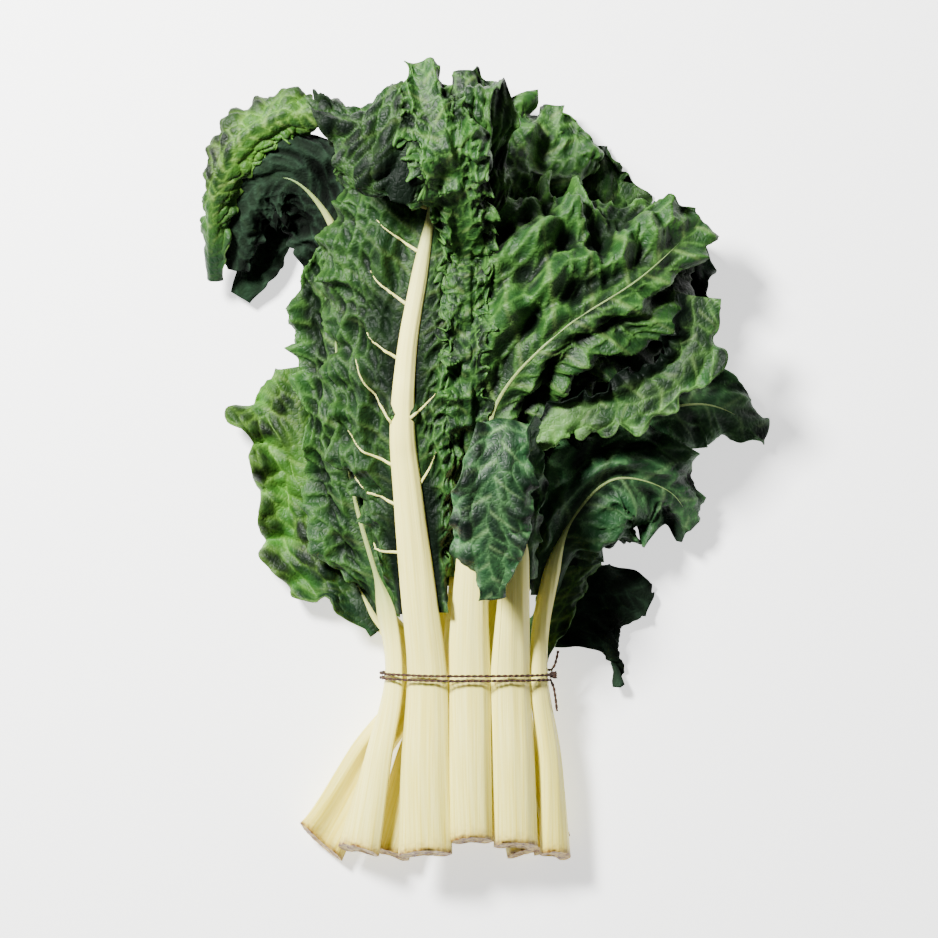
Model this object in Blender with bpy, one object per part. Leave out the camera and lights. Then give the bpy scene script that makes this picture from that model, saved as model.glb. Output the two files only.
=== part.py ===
"""A bunch of chard lying on its back, tied once with twine.

Twelve leaves, each a pale stalk that runs on into its midrib and a green blade, are laid one on
another from the table up. +Y runs from the cut ends to the leaf tips, +X across, +Z up, in metres.
The leaf courses are drawn from the middle of the tie; the finished bunch is moved so that its
bounding box stands centred on the origin, with its lowest point at Z = 0.
"""
import math

import bpy
import numpy as np
from mathutils import Vector
from mathutils.bvhtree import BVHTree

# Overall sizes. The courses below are drawn for these drawn sizes and stretched to the wanted ones.
BUNCH_LENGTH = 0.402
BUNCH_WIDTH = 0.286
DRAWN_LENGTH = 0.402
DRAWN_WIDTH = 0.286
TIE_SPREAD = 0.080    # nearer the tie than this, widths turn from the bunch's to the stalks'

# Stalks: the leaf table's widths are for a stalk of DRAWN_STALK at the tie.
STALK_WIDTH = 0.0214
DRAWN_STALK = 0.0214
STALK_THICKNESS = 0.0086
BUTT_THICKNESS = 0.0098
RIB_TIP_WIDTH = 0.0040
RIB_TIP_THICKNESS = 0.0024
TAPER_POWER = 1.8

# Blades.
BLADE_THICKNESS = 0.0016
BLADE_WING = 0.0035
WAVE_HEIGHT = 0.0035
WAVE_LENGTH = 0.075
RIB_MARGIN = 0.001    # how far the blade lies flat beyond each side of its rib
STRAIGHT_TURN = 1e-4  # a blade that bends less than this, in radians, is taken as straight

# Twine and clearances.
TWINE_DIAMETER = 0.0022
TWINE_TURNS = 2
TWINE_PITCH = 0.0034
OWN_GAP = 0.0007
REST_GAP = 0.0008
TWINE_GAP = 0.0004
TABLE_GAP = 0.0012
TWINE_START = 4
TWINE_STEPS = 72
TAIL_BELOW = 0.016
TAIL_ABOVE = 0.010
TAIL_FLARE = 0.0035
TAIL_DROP = 0.004
TAIL_SHARES = (1.0, 0.75, 0.5, 0.25)
TIE_REACH = 0.030

# Grid sizes.
BUTT_ROWS = 7
SIDE_COLUMNS = 4
PATH_STEPS = 30
SAMPLE_ORDER = 8
ROLL_FADE = 0.080
TURN_WEIGHT = 0.018
CREST_STATIONS = 5
EASING_PASSES = 8
SETTLE_ROUNDS = 12
SETTLED = 1e-5
RAY_HEIGHT = 1.0

# The stalk's section, across and outward, as shares of half the width and of the thickness.
STALK_SECTION = [
    (-1.00, -0.22), (-0.80, 0.20), (-0.42, 0.44), (0.00, 0.50), (0.42, 0.44),
    (0.80, 0.20), (1.00, -0.22), (0.70, -0.50), (0.00, -0.26), (-0.70, -0.50),
]

# One entry for each leaf, in the order they lie from the table up.
#   spine:   points from the cut end to the leaf tip, from the middle of the tie, in metres
#   butt, tie: stalk width at the cut end and at the tie
#   side:    +1 if the rib side faces up, -1 if it faces down
#   roll:    degrees that the stalk is rolled about its length at the cut end and at the tie,
#            fading out above the tie
#   start:   distance from the tie to where the blade begins
#   reach:   blade share along its length, then reach from the rib's middle to the left and right
#   bend:    blade share, then left sheet angle at the rib and margin, then the same on the right
#   rows:    blade stations; folds: whether the tip folds over and lies above the leaf itself
LEAVES = {
    "back_left": dict(
        spine=[(-0.020, -0.087, 0.0060), (-0.0088, 0.000, 0.0070), (-0.028, 0.057, 0.007),
               (-0.043, 0.127, 0.007), (-0.053, 0.197, 0.006), (-0.048, 0.257, 0.006)],
        butt=0.021, tie=0.0160, side=-1, roll=(0, -5), start=0.040, rows=13, folds=False,
        reach=[(0.0, 0.010, 0.010), (0.25, 0.034, 0.036), (0.6, 0.036, 0.045), (1.0, 0.014, 0.014)],
        bend=[(0.0, -24, -50, -24, -50), (1.0, -26, -52, -26, -52)]),
    "back_right": dict(
        spine=[(0.012, -0.085, 0.0058), (0.0088, 0.000, 0.0070), (0.022, 0.057, 0.007),
               (0.047, 0.127, 0.007), (0.068, 0.197, 0.007), (0.066, 0.270, 0.006)],
        butt=0.021, tie=0.0160, side=-1, roll=(0, 5), start=0.040, rows=13, folds=False,
        reach=[(0.0, 0.010, 0.010), (0.25, 0.036, 0.040), (0.65, 0.046, 0.054), (0.88, 0.036, 0.036),
               (1.0, 0.024, 0.014)],
        bend=[(0.0, -24, -50, -24, -50), (1.0, -26, -52, -26, -52)]),
    "lower_right": dict(
        spine=[(0.044, -0.089, 0.0080), (0.0258, 0.000, 0.0120), (0.042, 0.024, 0.012),
               (0.060, 0.039, 0.011), (0.078, 0.043, 0.009), (0.094, 0.035, 0.006)],
        butt=0.019, tie=0.0140, side=-1, roll=(15, 28), start=0.024, rows=8, folds=False,
        reach=[(0.0, 0.009, 0.012), (0.3, 0.014, 0.034), (0.6, 0.013, 0.045), (1.0, 0.006, 0.008)],
        bend=[(0.0, -5, -10, -10, -25), (1.0, -5, -10, -5, -20)]),
    "left_low": dict(
        spine=[(-0.075, -0.087, 0.0100), (-0.052, -0.043, 0.0120), (-0.0262, 0.000, 0.0120),
               (-0.046, 0.032, 0.015), (-0.070, 0.072, 0.015), (-0.083, 0.112, 0.014),
               (-0.090, 0.156, 0.012)],
        butt=0.024, tie=0.0160, side=-1, roll=(-12, -26), start=0.030, rows=11, folds=False,
        reach=[(0.0, 0.010, 0.010), (0.3, 0.034, 0.030), (0.55, 0.037, 0.032), (0.8, 0.030, 0.030),
               (1.0, 0.012, 0.012)],
        bend=[(0.0, -5, -12, -5, -8), (1.0, 0, -6, -5, -8)]),
    "arching_left": dict(
        spine=[(-0.040, -0.092, 0.0140), (-0.026, -0.043, 0.0180), (-0.012, 0.000, 0.0200),
               (-0.024, 0.057, 0.024), (-0.040, 0.127, 0.027), (-0.056, 0.192, 0.031),
               (-0.072, 0.234, 0.040), (-0.090, 0.250, 0.046), (-0.108, 0.246, 0.042),
               (-0.117, 0.227, 0.032), (-0.117, 0.205, 0.020)],
        butt=0.022, tie=0.0180, side=1, roll=(0, 0), start=0.045, rows=17, folds=False,
        reach=[(0.0, 0.009, 0.009), (0.3, 0.030, 0.026), (0.6, 0.024, 0.024), (0.85, 0.020, 0.024),
               (1.0, 0.010, 0.010)],
        bend=[(0.0, -5, -15, -5, -15), (0.55, -8, -25, 5, -15), (0.8, -10, -35, 35, -50),
              (1.0, -10, -30, 30, -45)]),
    "right_point": dict(
        spine=[(0.031, -0.091, 0.0140), (0.020, -0.043, 0.0180), (0.008, 0.000, 0.0200),
               (0.022, 0.047, 0.026), (0.047, 0.092, 0.031), (0.082, 0.127, 0.034),
               (0.120, 0.137, 0.026), (0.154, 0.123, 0.010)],
        butt=0.022, tie=0.0180, side=1, roll=(0, 0), start=0.045, rows=13, folds=False,
        reach=[(0.0, 0.009, 0.009), (0.35, 0.036, 0.030), (0.7, 0.030, 0.026), (0.88, 0.018, 0.014),
               (1.0, 0.0035, 0.0035)],
        bend=[(0.0, -5, -25, -5, -30), (1.0, -10, -35, -10, -35)]),
    "right_low": dict(
        spine=[(0.0460, -0.092, 0.0200), (0.0430, -0.043, 0.0230), (0.0366, 0.000, 0.0265),
               (0.040, 0.037, 0.029), (0.052, 0.077, 0.034), (0.074, 0.099, 0.036),
               (0.102, 0.093, 0.028), (0.116, 0.075, 0.016)],
        butt=0.018, tie=0.0140, side=1, roll=(-40, -80), start=0.040, rows=12, folds=False,
        reach=[(0.0, 0.009, 0.009), (0.35, 0.030, 0.030), (0.65, 0.030, 0.042), (1.0, 0.012, 0.016)],
        bend=[(0.0, 0, -15, -8, -35), (0.6, 0, -20, -15, -55), (1.0, -5, -25, -20, -55)]),
    "left_mid": dict(
        spine=[(-0.056, -0.089, 0.0210), (-0.046, -0.043, 0.0240), (-0.0370, 0.000, 0.0262),
               (-0.043, 0.039, 0.032), (-0.056, 0.087, 0.036), (-0.064, 0.137, 0.040),
               (-0.066, 0.187, 0.042), (-0.064, 0.222, 0.040)],
        butt=0.024, tie=0.0155, side=1, roll=(30, 80), start=0.030, rows=14, folds=False,
        reach=[(0.0, 0.009, 0.009), (0.2, 0.026, 0.022), (0.4, 0.026, 0.030), (0.55, 0.018, 0.030),
               (0.8, 0.026, 0.030), (1.0, 0.012, 0.012)],
        bend=[(0.0, -10, -40, 0, -12), (0.6, -15, -50, 0, -15), (1.0, -15, -45, -5, -20)]),
    "crown": dict(
        spine=[(-0.004, -0.083, 0.0260), (-0.002, 0.000, 0.0300), (0.000, 0.063, 0.038),
               (0.000, 0.127, 0.044), (0.000, 0.197, 0.047), (0.000, 0.257, 0.044),
               (-0.001, 0.306, 0.032)],
        butt=0.020, tie=0.0180, side=1, roll=(0, 0), start=0.045, rows=14, folds=False,
        reach=[(0.0, 0.009, 0.009), (0.35, 0.040, 0.040), (0.8, 0.046, 0.044), (1.0, 0.030, 0.034)],
        bend=[(0.0, -5, -25, -5, -25), (0.6, -8, -50, -8, -50), (1.0, -12, -55, -12, -55)]),
    "right_big": dict(
        spine=[(0.0025, -0.083, 0.0380), (0.0015, -0.043, 0.0405), (0.001, 0.000, 0.0410),
               (0.002, 0.047, 0.047), (0.006, 0.097, 0.054), (0.016, 0.139, 0.062),
               (0.046, 0.172, 0.070), (0.086, 0.199, 0.065), (0.118, 0.229, 0.044)],
        butt=0.0205, tie=0.0214, side=1, roll=(0, 0), start=0.050, rows=15, folds=False,
        reach=[(0.0, 0.009, 0.009), (0.25, 0.030, 0.034), (0.5, 0.064, 0.060), (0.75, 0.070, 0.070),
               (1.0, 0.030, 0.032)],
        bend=[(0.0, -5, -15, -10, -30), (0.5, -8, -42, -25, -62), (1.0, -12, -50, -20, -60)]),
    "front": dict(
        spine=[(-0.0215, -0.090, 0.0340), (-0.0215, -0.043, 0.0370), (-0.0206, 0.000, 0.0376),
               (-0.024, 0.039, 0.045), (-0.029, 0.089, 0.054), (-0.032, 0.124, 0.060),
               (-0.0295, 0.164, 0.065), (-0.023, 0.202, 0.069), (-0.017, 0.237, 0.072),
               (-0.016, 0.270, 0.076), (-0.018, 0.283, 0.084), (-0.022, 0.270, 0.093),
               (-0.030, 0.246, 0.094), (-0.038, 0.216, 0.088)],
        butt=0.0275, tie=0.0214, side=1, roll=(6, 20), start=0.032, rows=19, folds=True,
        reach=[(0.0, 0.011, 0.011), (0.2, 0.028, 0.026), (0.35, 0.036, 0.032), (0.55, 0.058, 0.034),
               (0.78, 0.062, 0.046), (0.9, 0.060, 0.052), (1.0, 0.030, 0.034)],
        bend=[(0.0, -5, -25, -5, -25), (0.35, -8, -40, -5, -35), (0.7, -8, -42, -4, -38),
              (0.79, -2, -8, -2, -8), (0.85, 4, 24, 4, 24), (1.0, 6, 30, 6, 30)]),
    "hanging": dict(
        spine=[(0.0250, -0.086, 0.0330), (0.0240, -0.043, 0.0365), (0.0226, 0.000, 0.0368),
               (0.024, 0.047, 0.048), (0.025, 0.092, 0.058), (0.023, 0.118, 0.068),
               (0.021, 0.128, 0.077), (0.016, 0.112, 0.086), (0.011, 0.077, 0.082),
               (0.013, 0.040, 0.068)],
        butt=0.0225, tie=0.0208, side=1, roll=(-8, -22), start=0.050, rows=15, folds=True,
        reach=[(0.0, 0.009, 0.009), (0.25, 0.016, 0.016), (0.5, 0.022, 0.022), (0.8, 0.020, 0.020),
               (1.0, 0.009, 0.009)],
        bend=[(0.0, -5, -15, -5, -15), (0.42, -5, -10, -5, -10), (0.5, 0, 0, 0, 0),
              (0.6, 5, 15, 5, 15), (1.0, 5, 15, 5, 15)]),
}

# Base colour and roughness of each kind of piece.
STALK_COLOUR = (0.84, 0.80, 0.58)
TWINE_COLOUR = (0.16, 0.08, 0.035)
BLADE_COLOURS = {
    "back_left": (0.020, 0.060, 0.022),
    "back_right": (0.018, 0.055, 0.024),
    "lower_right": (0.012, 0.032, 0.020),
    "left_low": (0.090, 0.200, 0.030),
    "arching_left": (0.050, 0.130, 0.040),
    "right_point": (0.020, 0.060, 0.028),
    "right_low": (0.020, 0.055, 0.042),
    "left_mid": (0.035, 0.100, 0.034),
    "crown": (0.024, 0.072, 0.028),
    "right_big": (0.030, 0.090, 0.048),
    "front": (0.026, 0.078, 0.032),
    "hanging": (0.030, 0.095, 0.060),
}


def clear_scene():
    for item in list(bpy.data.objects):
        bpy.data.objects.remove(item, do_unlink=True)


def material(name, colour, roughness):
    made = bpy.data.materials.new(name)
    made.use_nodes = True
    shader = made.node_tree.nodes["Principled BSDF"]
    shader.inputs["Base Color"].default_value = (*colour, 1.0)
    shader.inputs["Roughness"].default_value = roughness
    shader.inputs["Metallic"].default_value = 0.0
    return made


def add_object(name, points, faces, finish):
    mesh = bpy.data.meshes.new(name)
    mesh.from_pydata([tuple(p) for p in points], [], [tuple(f) for f in faces])
    mesh.shade_smooth()
    mesh.set_sharp_from_angle(angle=math.radians(50))
    mesh.materials.append(finish)
    made = bpy.data.objects.new(name, mesh)
    bpy.context.collection.objects.link(made)
    return made


def stretched(point):
    """A drawn point at the wanted overall size; close to the tie it follows the stalks' width."""
    x, y, z = point
    away = min(1.0, abs(y) / TIE_SPREAD)
    across = STALK_WIDTH / DRAWN_STALK * (1 - away) + BUNCH_WIDTH / DRAWN_WIDTH * away
    return np.array([x * across, y * BUNCH_LENGTH / DRAWN_LENGTH, z])


def spline(points):
    """A centripetal Catmull-Rom curve through the points, as a dense polyline."""
    points = np.array(points)
    padded = np.vstack([2 * points[0] - points[1], points, 2 * points[-1] - points[-2]])
    knots = np.concatenate([[0.0], np.cumsum(np.linalg.norm(np.diff(padded, axis=0), axis=1) ** 0.5)])
    curve = []
    for i in range(1, len(padded) - 2):
        p0, p1, p2, p3 = padded[i - 1:i + 3]
        t0, t1, t2, t3 = knots[i - 1:i + 3]
        for t in np.linspace(t1, t2, PATH_STEPS, endpoint=False):
            a1 = ((t1 - t) * p0 + (t - t0) * p1) / (t1 - t0)
            a2 = ((t2 - t) * p1 + (t - t1) * p2) / (t2 - t1)
            a3 = ((t3 - t) * p2 + (t - t2) * p3) / (t3 - t2)
            b1 = ((t2 - t) * a1 + (t - t0) * a2) / (t2 - t0)
            b2 = ((t3 - t) * a2 + (t - t1) * a3) / (t3 - t1)
            curve.append(((t2 - t) * b1 + (t - t1) * b2) / (t2 - t1))
    curve.append(points[-1])
    return np.array(curve)


def unit(vectors):
    return vectors / np.linalg.norm(vectors, axis=-1, keepdims=True)


class Course:
    """A leaf's smooth course, with the directions across it and out of it at any distance."""

    def __init__(self, leaf):
        self.path = spline([stretched(p) for p in leaf["spine"]])
        steps = np.linalg.norm(np.diff(self.path, axis=0), axis=1)
        self.length = np.concatenate([[0.0], np.cumsum(steps)])
        self.total = self.length[-1]
        crossing = int(np.argmax(self.path[:, 1] >= 0.0)) + 1
        self.tie = float(np.interp(0.0, self.path[:crossing, 1], self.length[:crossing]))
        self.tangent = unit(np.gradient(self.path, axis=0))
        crosswise = np.array([1.0, 0.0, 0.0])
        side = crosswise
        sides = []
        for tangent in self.tangent:
            # A leaf that folds over keeps level across; the others turn with their course.
            side = crosswise if leaf["folds"] else side
            side = unit(side - np.dot(side, tangent) * tangent)
            sides.append(side)
        self.across = np.array(sides)
        turning = np.linalg.norm(np.diff(self.tangent, axis=0), axis=1)
        self.measure = np.concatenate([[0.0], np.cumsum(steps + TURN_WEIGHT * turning)])
        self.rolls = [math.radians(angle) for angle in leaf["roll"]]

    def read(self, rows, distance):
        return np.array([np.interp(distance, self.length, rows[:, k]) for k in range(3)])

    def frame(self, distance):
        """Place, direction across and direction up at a distance along the course."""
        tangent = unit(self.read(self.tangent, distance))
        across = self.read(self.across, distance)
        across = unit(across - np.dot(across, tangent) * tangent)
        up = np.cross(across, tangent)
        fade = 1.0 - min(1.0, max(0.0, (distance - self.tie) / ROLL_FADE))
        below = max(0.0, 1.0 - distance / self.tie)
        turn = self.rolls[1] * fade * fade * (3 - 2 * fade) * (1 - below) + self.rolls[0] * below
        rolled_across = across * math.cos(turn) + up * math.sin(turn)
        rolled_up = up * math.cos(turn) - across * math.sin(turn)
        return self.read(self.path, distance), rolled_across, rolled_up


def stations(leaf, course):
    """Distances of the leaf's cross-sections, and the number of them below the blade."""
    start = course.tie + leaf["start"]
    below = np.linspace(0.0, start, BUTT_ROWS)[:-1]
    marks = np.linspace(np.interp(start, course.length, course.measure), course.measure[-1], leaf["rows"])
    blade = np.interp(marks, course.measure, course.length)
    return np.concatenate([below, blade]), len(below)


def stalk_size(leaf, course, distance):
    """Width and thickness of the stalk or rib at a distance from the cut end."""
    tie_width = leaf["tie"] * STALK_WIDTH / DRAWN_STALK
    butt_width = leaf["butt"] * STALK_WIDTH / DRAWN_STALK
    if distance < course.tie:
        share = distance / course.tie
        width = butt_width + (tie_width - butt_width) * share
        return width, BUTT_THICKNESS + (STALK_THICKNESS - BUTT_THICKNESS) * share
    left = max(0.0, (course.total - distance) / (course.total - course.tie)) ** TAPER_POWER
    width = RIB_TIP_WIDTH + (tie_width - RIB_TIP_WIDTH) * left
    return width, RIB_TIP_THICKNESS + (STALK_THICKNESS - RIB_TIP_THICKNESS) * left


def table_at(rows, share):
    shares = [row[0] for row in rows]
    return [np.interp(share, shares, [row[k] for row in rows]) for k in range(1, len(rows[0]))]


def stalk_points(leaf, course, distances):
    """Rings of the stalk and rib, from the cut end to one station short of the leaf tip."""
    rings = []
    for distance in distances:
        place, across, up = course.frame(distance)
        width, thickness = stalk_size(leaf, course, distance)
        outward = up * leaf["side"]
        rings.append([place + across * (a * width / 2) + outward * (n * thickness)
                      for a, n in STALK_SECTION])
    return np.array(rings)


def sheet_section(leaf, course, distance, share):
    """The blade's middle surface across one station, from the left margin to the right one."""
    place, across, up = course.frame(distance)
    width, thickness = stalk_size(leaf, course, distance)
    place = place - up * leaf["side"] * (thickness / 2 + OWN_GAP + BLADE_THICKNESS / 2)
    reach = table_at(leaf["reach"], share)
    bend = table_at(leaf["bend"], share)
    spread = BUNCH_WIDTH / DRAWN_WIDTH
    wave = WAVE_HEIGHT * math.sin(2 * math.pi * (distance - course.tie) / WAVE_LENGTH)
    section = [place]
    for sign, k in ((-1, 0), (1, 1)):
        flat = width / 2 + RIB_MARGIN
        free = max(reach[k] * spread, flat + BLADE_WING) - flat
        first = math.radians(bend[2 * k])
        turn = math.radians(bend[2 * k + 1]) - first
        points = []
        for column in range(SIDE_COLUMNS):
            share_out = column / (SIDE_COLUMNS - 1)
            if abs(turn) < STRAIGHT_TURN:
                out = math.cos(first) * share_out
                rise = math.sin(first) * share_out
            else:
                out = (math.sin(first + turn * share_out) - math.sin(first)) / turn
                rise = (math.cos(first) - math.cos(first + turn * share_out)) / turn
            rise = rise * free + sign * wave * share_out ** 2
            points.append(place + across * sign * (flat + out * free) + up * rise)
        section = points[::-1] + section if sign < 0 else section + points
    return section


def strip_faces(rows, columns, closed):
    """Triangles between neighbouring rows of points; closed joins the last column to the first."""
    faces = []
    for i in range(rows - 1):
        for j in range(columns if closed else columns - 1):
            a = i * columns + j
            b = i * columns + (j + 1) % columns
            faces.append((a, b, b + columns))
            faces.append((a, b + columns, a + columns))
    return faces


def stalk_faces(rows, columns, side):
    faces = strip_faces(rows, columns, True)
    last = (rows - 1) * columns
    for j in range(1, columns - 1):
        faces.append((0, j + 1, j))
        faces.append((last, last + j, last + j + 1))
    return faces if side > 0 else [face[::-1] for face in faces]


def thick_sheet(middle):
    """A closed sheet of BLADE_THICKNESS about a grid of middle points, and its triangles."""
    rows, columns = middle.shape[:2]
    along = np.gradient(middle, axis=0)
    over = np.gradient(middle, axis=1)
    normal = unit(np.cross(over, along))
    top = (middle + normal * BLADE_THICKNESS / 2).reshape(-1, 3)
    bottom = (middle - normal * BLADE_THICKNESS / 2).reshape(-1, 3)
    count = rows * columns
    upper = strip_faces(rows, columns, False)
    faces = upper + [(a + count, c + count, b + count) for a, b, c in upper]
    rim = [j for j in range(columns)]
    rim += [i * columns + columns - 1 for i in range(1, rows)]
    rim += [(rows - 1) * columns + j for j in range(columns - 2, -1, -1)]
    rim += [i * columns for i in range(rows - 2, 0, -1)]
    for a, b in zip(rim, rim[1:] + rim[:1]):
        faces.append((b, a, a + count))
        faces.append((b, a + count, b + count))
    return np.vstack([top, bottom]), faces


def sample_weights(order):
    """Evenly spread places inside a triangle, as weights of its corners."""
    return np.array([(i / order, j / order, (order - i - j) / order)
                     for i in range(order + 1) for j in range(order + 1 - i)])


WEIGHTS = sample_weights(SAMPLE_ORDER)


def needed_lift(points, faces, group, groups, below):
    """How far each group of points must rise for its triangles to clear the pieces below them."""
    need = np.zeros(groups)
    if below is None:
        return need
    for face in faces:
        corners = points[list(face)]
        worst = 0.0
        for x, y, z in WEIGHTS @ corners:
            hit = below.ray_cast(Vector((x, y, RAY_HEIGHT)), Vector((0.0, 0.0, -1.0)))[0]
            if hit is not None:
                worst = max(worst, hit.z + REST_GAP - z)
        for corner in face:
            need[group[corner]] = max(need[group[corner]], worst)
    return need


def eased_lift(wanted, pairs):
    """Lifts at least as high as wanted that ease off from each group to its neighbours."""
    lift = wanted.copy()
    for _ in range(EASING_PASSES):
        total = np.zeros(len(lift))
        count = np.zeros(len(lift))
        np.add.at(total, pairs[:, 0], lift[pairs[:, 1]])
        np.add.at(count, pairs[:, 0], 1)
        lift = np.maximum(wanted, total / count)
    return lift


def settle(points, floor, faces, group, groups, below, fold_groups, crest_groups):
    """Lifts groups straight up until they clear what lies below, then flattens them on the table."""
    pairs = {(group[a], group[b]) for f in faces for a, b in ((f[0], f[1]), (f[1], f[2]), (f[2], f[0]))}
    pairs = np.array([p for p in pairs if p[0] != p[1]])
    lift = np.zeros(groups)
    for _ in range(SETTLE_ROUNDS):
        table_lift = np.zeros(groups)
        np.maximum.at(table_lift, group, floor - points[:, 2] - lift[group])
        raised = points.copy()
        raised[:, 2] += (lift + table_lift)[group]
        need = needed_lift(raised, faces, group, groups, below)
        if need.max() < SETTLED:
            break
        wanted = lift + table_lift * (need > 0) + need
        if len(fold_groups):
            wanted[fold_groups] = np.maximum(wanted[fold_groups], wanted[crest_groups].max())
        lift = eased_lift(wanted, pairs)
    return lift + table_lift


def shape_leaf(leaf, below):
    """The settled points and the triangles of one leaf's stalk and blade."""
    course = Course(leaf)
    distances, butt = stations(leaf, course)
    rings = stalk_points(leaf, course, distances[:-1])
    stalk_mesh = stalk_faces(len(rings), len(STALK_SECTION), leaf["side"])
    blade_distances = distances[butt:]
    shares = (blade_distances - blade_distances[0]) / (blade_distances[-1] - blade_distances[0])
    middle = np.array([sheet_section(leaf, course, d, s) for d, s in zip(blade_distances, shares)])
    blade_points, blade_mesh = thick_sheet(middle)

    # Group k below len(distances) is station k's rib and the blade right at it.
    rows, columns = middle.shape[:2]
    stalk_group = np.repeat(np.arange(len(rings)), len(STALK_SECTION))
    cell = np.arange(rows * columns).reshape(rows, columns) + len(distances)
    for i in range(rows):
        cell[i, SIDE_COLUMNS - 1:SIDE_COLUMNS + 2] = butt + i
    blade_group = np.concatenate([cell.reshape(-1)] * 2)
    used, packed = np.unique(np.concatenate([stalk_group, blade_group]), return_inverse=True)

    fold_groups, crest_groups = [], []
    if leaf["folds"]:
        station = np.concatenate([np.repeat(np.arange(len(rings)), len(STALK_SECTION)) - butt,
                                  np.tile(np.repeat(np.arange(rows), columns), 2)])
        crest = int(np.argmax(middle[:, SIDE_COLUMNS, 1]))
        fold_groups = np.unique(packed[station >= crest])
        crest_groups = np.unique(packed[(station >= crest - CREST_STATIONS) & (station < crest)])

    stalk_flat = rings.reshape(-1, 3)
    points = np.vstack([stalk_flat, blade_points])
    shift = len(stalk_flat)
    faces = stalk_mesh + [tuple(k + shift for k in face) for face in blade_mesh]
    # The twine passes under the stalks at the tie; everything else may rest on the table.
    at_tie = (np.abs(points[:, 1]) < TIE_REACH) & (np.arange(len(points)) < shift)
    floor = np.where(at_tie, TWINE_DIAMETER + TWINE_GAP + TABLE_GAP, 0.0)
    lift = settle(points, floor, faces, packed, len(used), below, fold_groups, crest_groups)
    points[:, 2] += lift[packed]
    print(f"settled, highest lift {lift.max() * 1000:.1f} mm")
    return points[:shift], stalk_mesh, points[shift:], blade_mesh


def smooth_over(need, passes):
    """A closed row of values eased together, none below its need."""
    eased = need.copy()
    for _ in range(passes):
        eased = np.maximum(need, (np.roll(eased, 1) + np.roll(eased, -1)) / 2)
    return eased


def tie_outline(stalks):
    """The closed line of a tight wrap round all stalks where they pass through the tie."""
    reach = TWINE_TURNS * TWINE_PITCH / 2 + TWINE_DIAMETER
    near = []
    for points in stalks:
        rings = points.reshape(-1, len(STALK_SECTION), 3)
        for before, after in zip(rings[:-1], rings[1:]):
            for p, q in zip(before, after):
                for y in (-reach, 0.0, reach):
                    if p[1] <= y < q[1]:
                        near.append(p + (q - p) * (y - p[1]) / (q[1] - p[1]))
    near = np.array(near)[:, [0, 2]]
    middle = (near.min(axis=0) + near.max(axis=0)) / 2
    angles = np.linspace(0.0, 2 * math.pi, TWINE_STEPS, endpoint=False)
    normals = np.stack([np.cos(angles), np.sin(angles)], axis=1)
    tangents = np.stack([-np.sin(angles), np.cos(angles)], axis=1)
    support = ((near - middle) @ normals.T).max(axis=0) + TWINE_DIAMETER / 2 + TWINE_GAP
    support = smooth_over(support, 2)
    slope = (np.roll(support, -1) - np.roll(support, 1)) / (2 * (angles[1] - angles[0]))
    return middle + normals * support[:, None] + tangents * slope[:, None], normals


def twine_route(stalks):
    """Middle line of the twine: a free end, the turns, and the other free end."""
    outline, normals = tie_outline(stalks)
    turns = []
    for i in range(TWINE_TURNS * TWINE_STEPS - TWINE_START):
        x, z = outline[(TWINE_START + i) % TWINE_STEPS]
        turns.append(np.array([x, TWINE_PITCH * (i / TWINE_STEPS - TWINE_TURNS / 2), z]))
    out_x, out_z = normals[TWINE_START]
    outward = np.array([out_x, 0.0, out_z])
    lower, upper = [], []
    for share in TAIL_SHARES:
        flare = outward * TAIL_FLARE * math.sqrt(share)
        lower.append(turns[0] + flare + np.array([0.0, -TAIL_BELOW * share, -TAIL_DROP * share]))
        upper.append(turns[-1] + flare + np.array([0.0, TAIL_ABOVE * share, TAIL_DROP * share]))
    return lower + turns + upper[::-1]


def add_twine(stalks):
    curve = bpy.data.curves.new("twine", "CURVE")
    curve.dimensions = "3D"
    curve.bevel_depth = TWINE_DIAMETER / 2
    curve.bevel_resolution = 1
    curve.use_fill_caps = True
    route = twine_route(stalks)
    line = curve.splines.new("POLY")
    line.points.add(len(route) - 1)
    for point, place in zip(line.points, route):
        point.co = (*place, 1.0)
    curve.materials.append(material("twine", TWINE_COLOUR, 0.9))
    made = bpy.data.objects.new("twine", curve)
    bpy.context.collection.objects.link(made)
    return made, np.array(route)


def build():
    clear_scene()
    placed_points, placed_faces, stalks, made = [], [], [], []
    below = None
    for name, leaf in LEAVES.items():
        stalk, stalk_mesh, blade, blade_mesh = shape_leaf(leaf, below)
        stalk_finish = material(f"{name}_stalk", STALK_COLOUR, 0.45)
        blade_finish = material(f"{name}_blade", BLADE_COLOURS[name], 0.55)
        made.append(add_object(f"{name}_stalk", stalk, stalk_mesh, stalk_finish))
        made.append(add_object(f"{name}_blade", blade, blade_mesh, blade_finish))
        stalks.append(stalk)
        for points, faces in ((stalk, stalk_mesh), (blade, blade_mesh)):
            shift = len(placed_points)
            placed_points += [Vector(p) for p in points]
            placed_faces += [tuple(k + shift for k in face) for face in faces]
        below = BVHTree.FromPolygons(placed_points, placed_faces)
    twine, route = add_twine(stalks)
    made.append(twine)

    everything = np.array([tuple(p) for p in placed_points])
    low, high = everything.min(axis=0), everything.max(axis=0)
    low[2] = min(low[2], route[:, 2].min() - TWINE_DIAMETER / 2)
    for item in made:
        item.location = (-(low[0] + high[0]) / 2, -(low[1] + high[1]) / 2, -low[2])


build()
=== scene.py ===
# Looks for a bunch of chard lying on its back, tied with twine. Metres; +Y runs from the cut ends
# to the leaf tips and +Z is up. Each leaf is drawn again, much finer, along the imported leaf's
# course, and then laid on the leaves under it.
import math

import bpy
import numpy as np
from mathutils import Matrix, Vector
from mathutils.bvhtree import BVHTree
from mathutils.kdtree import KDTree


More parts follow.
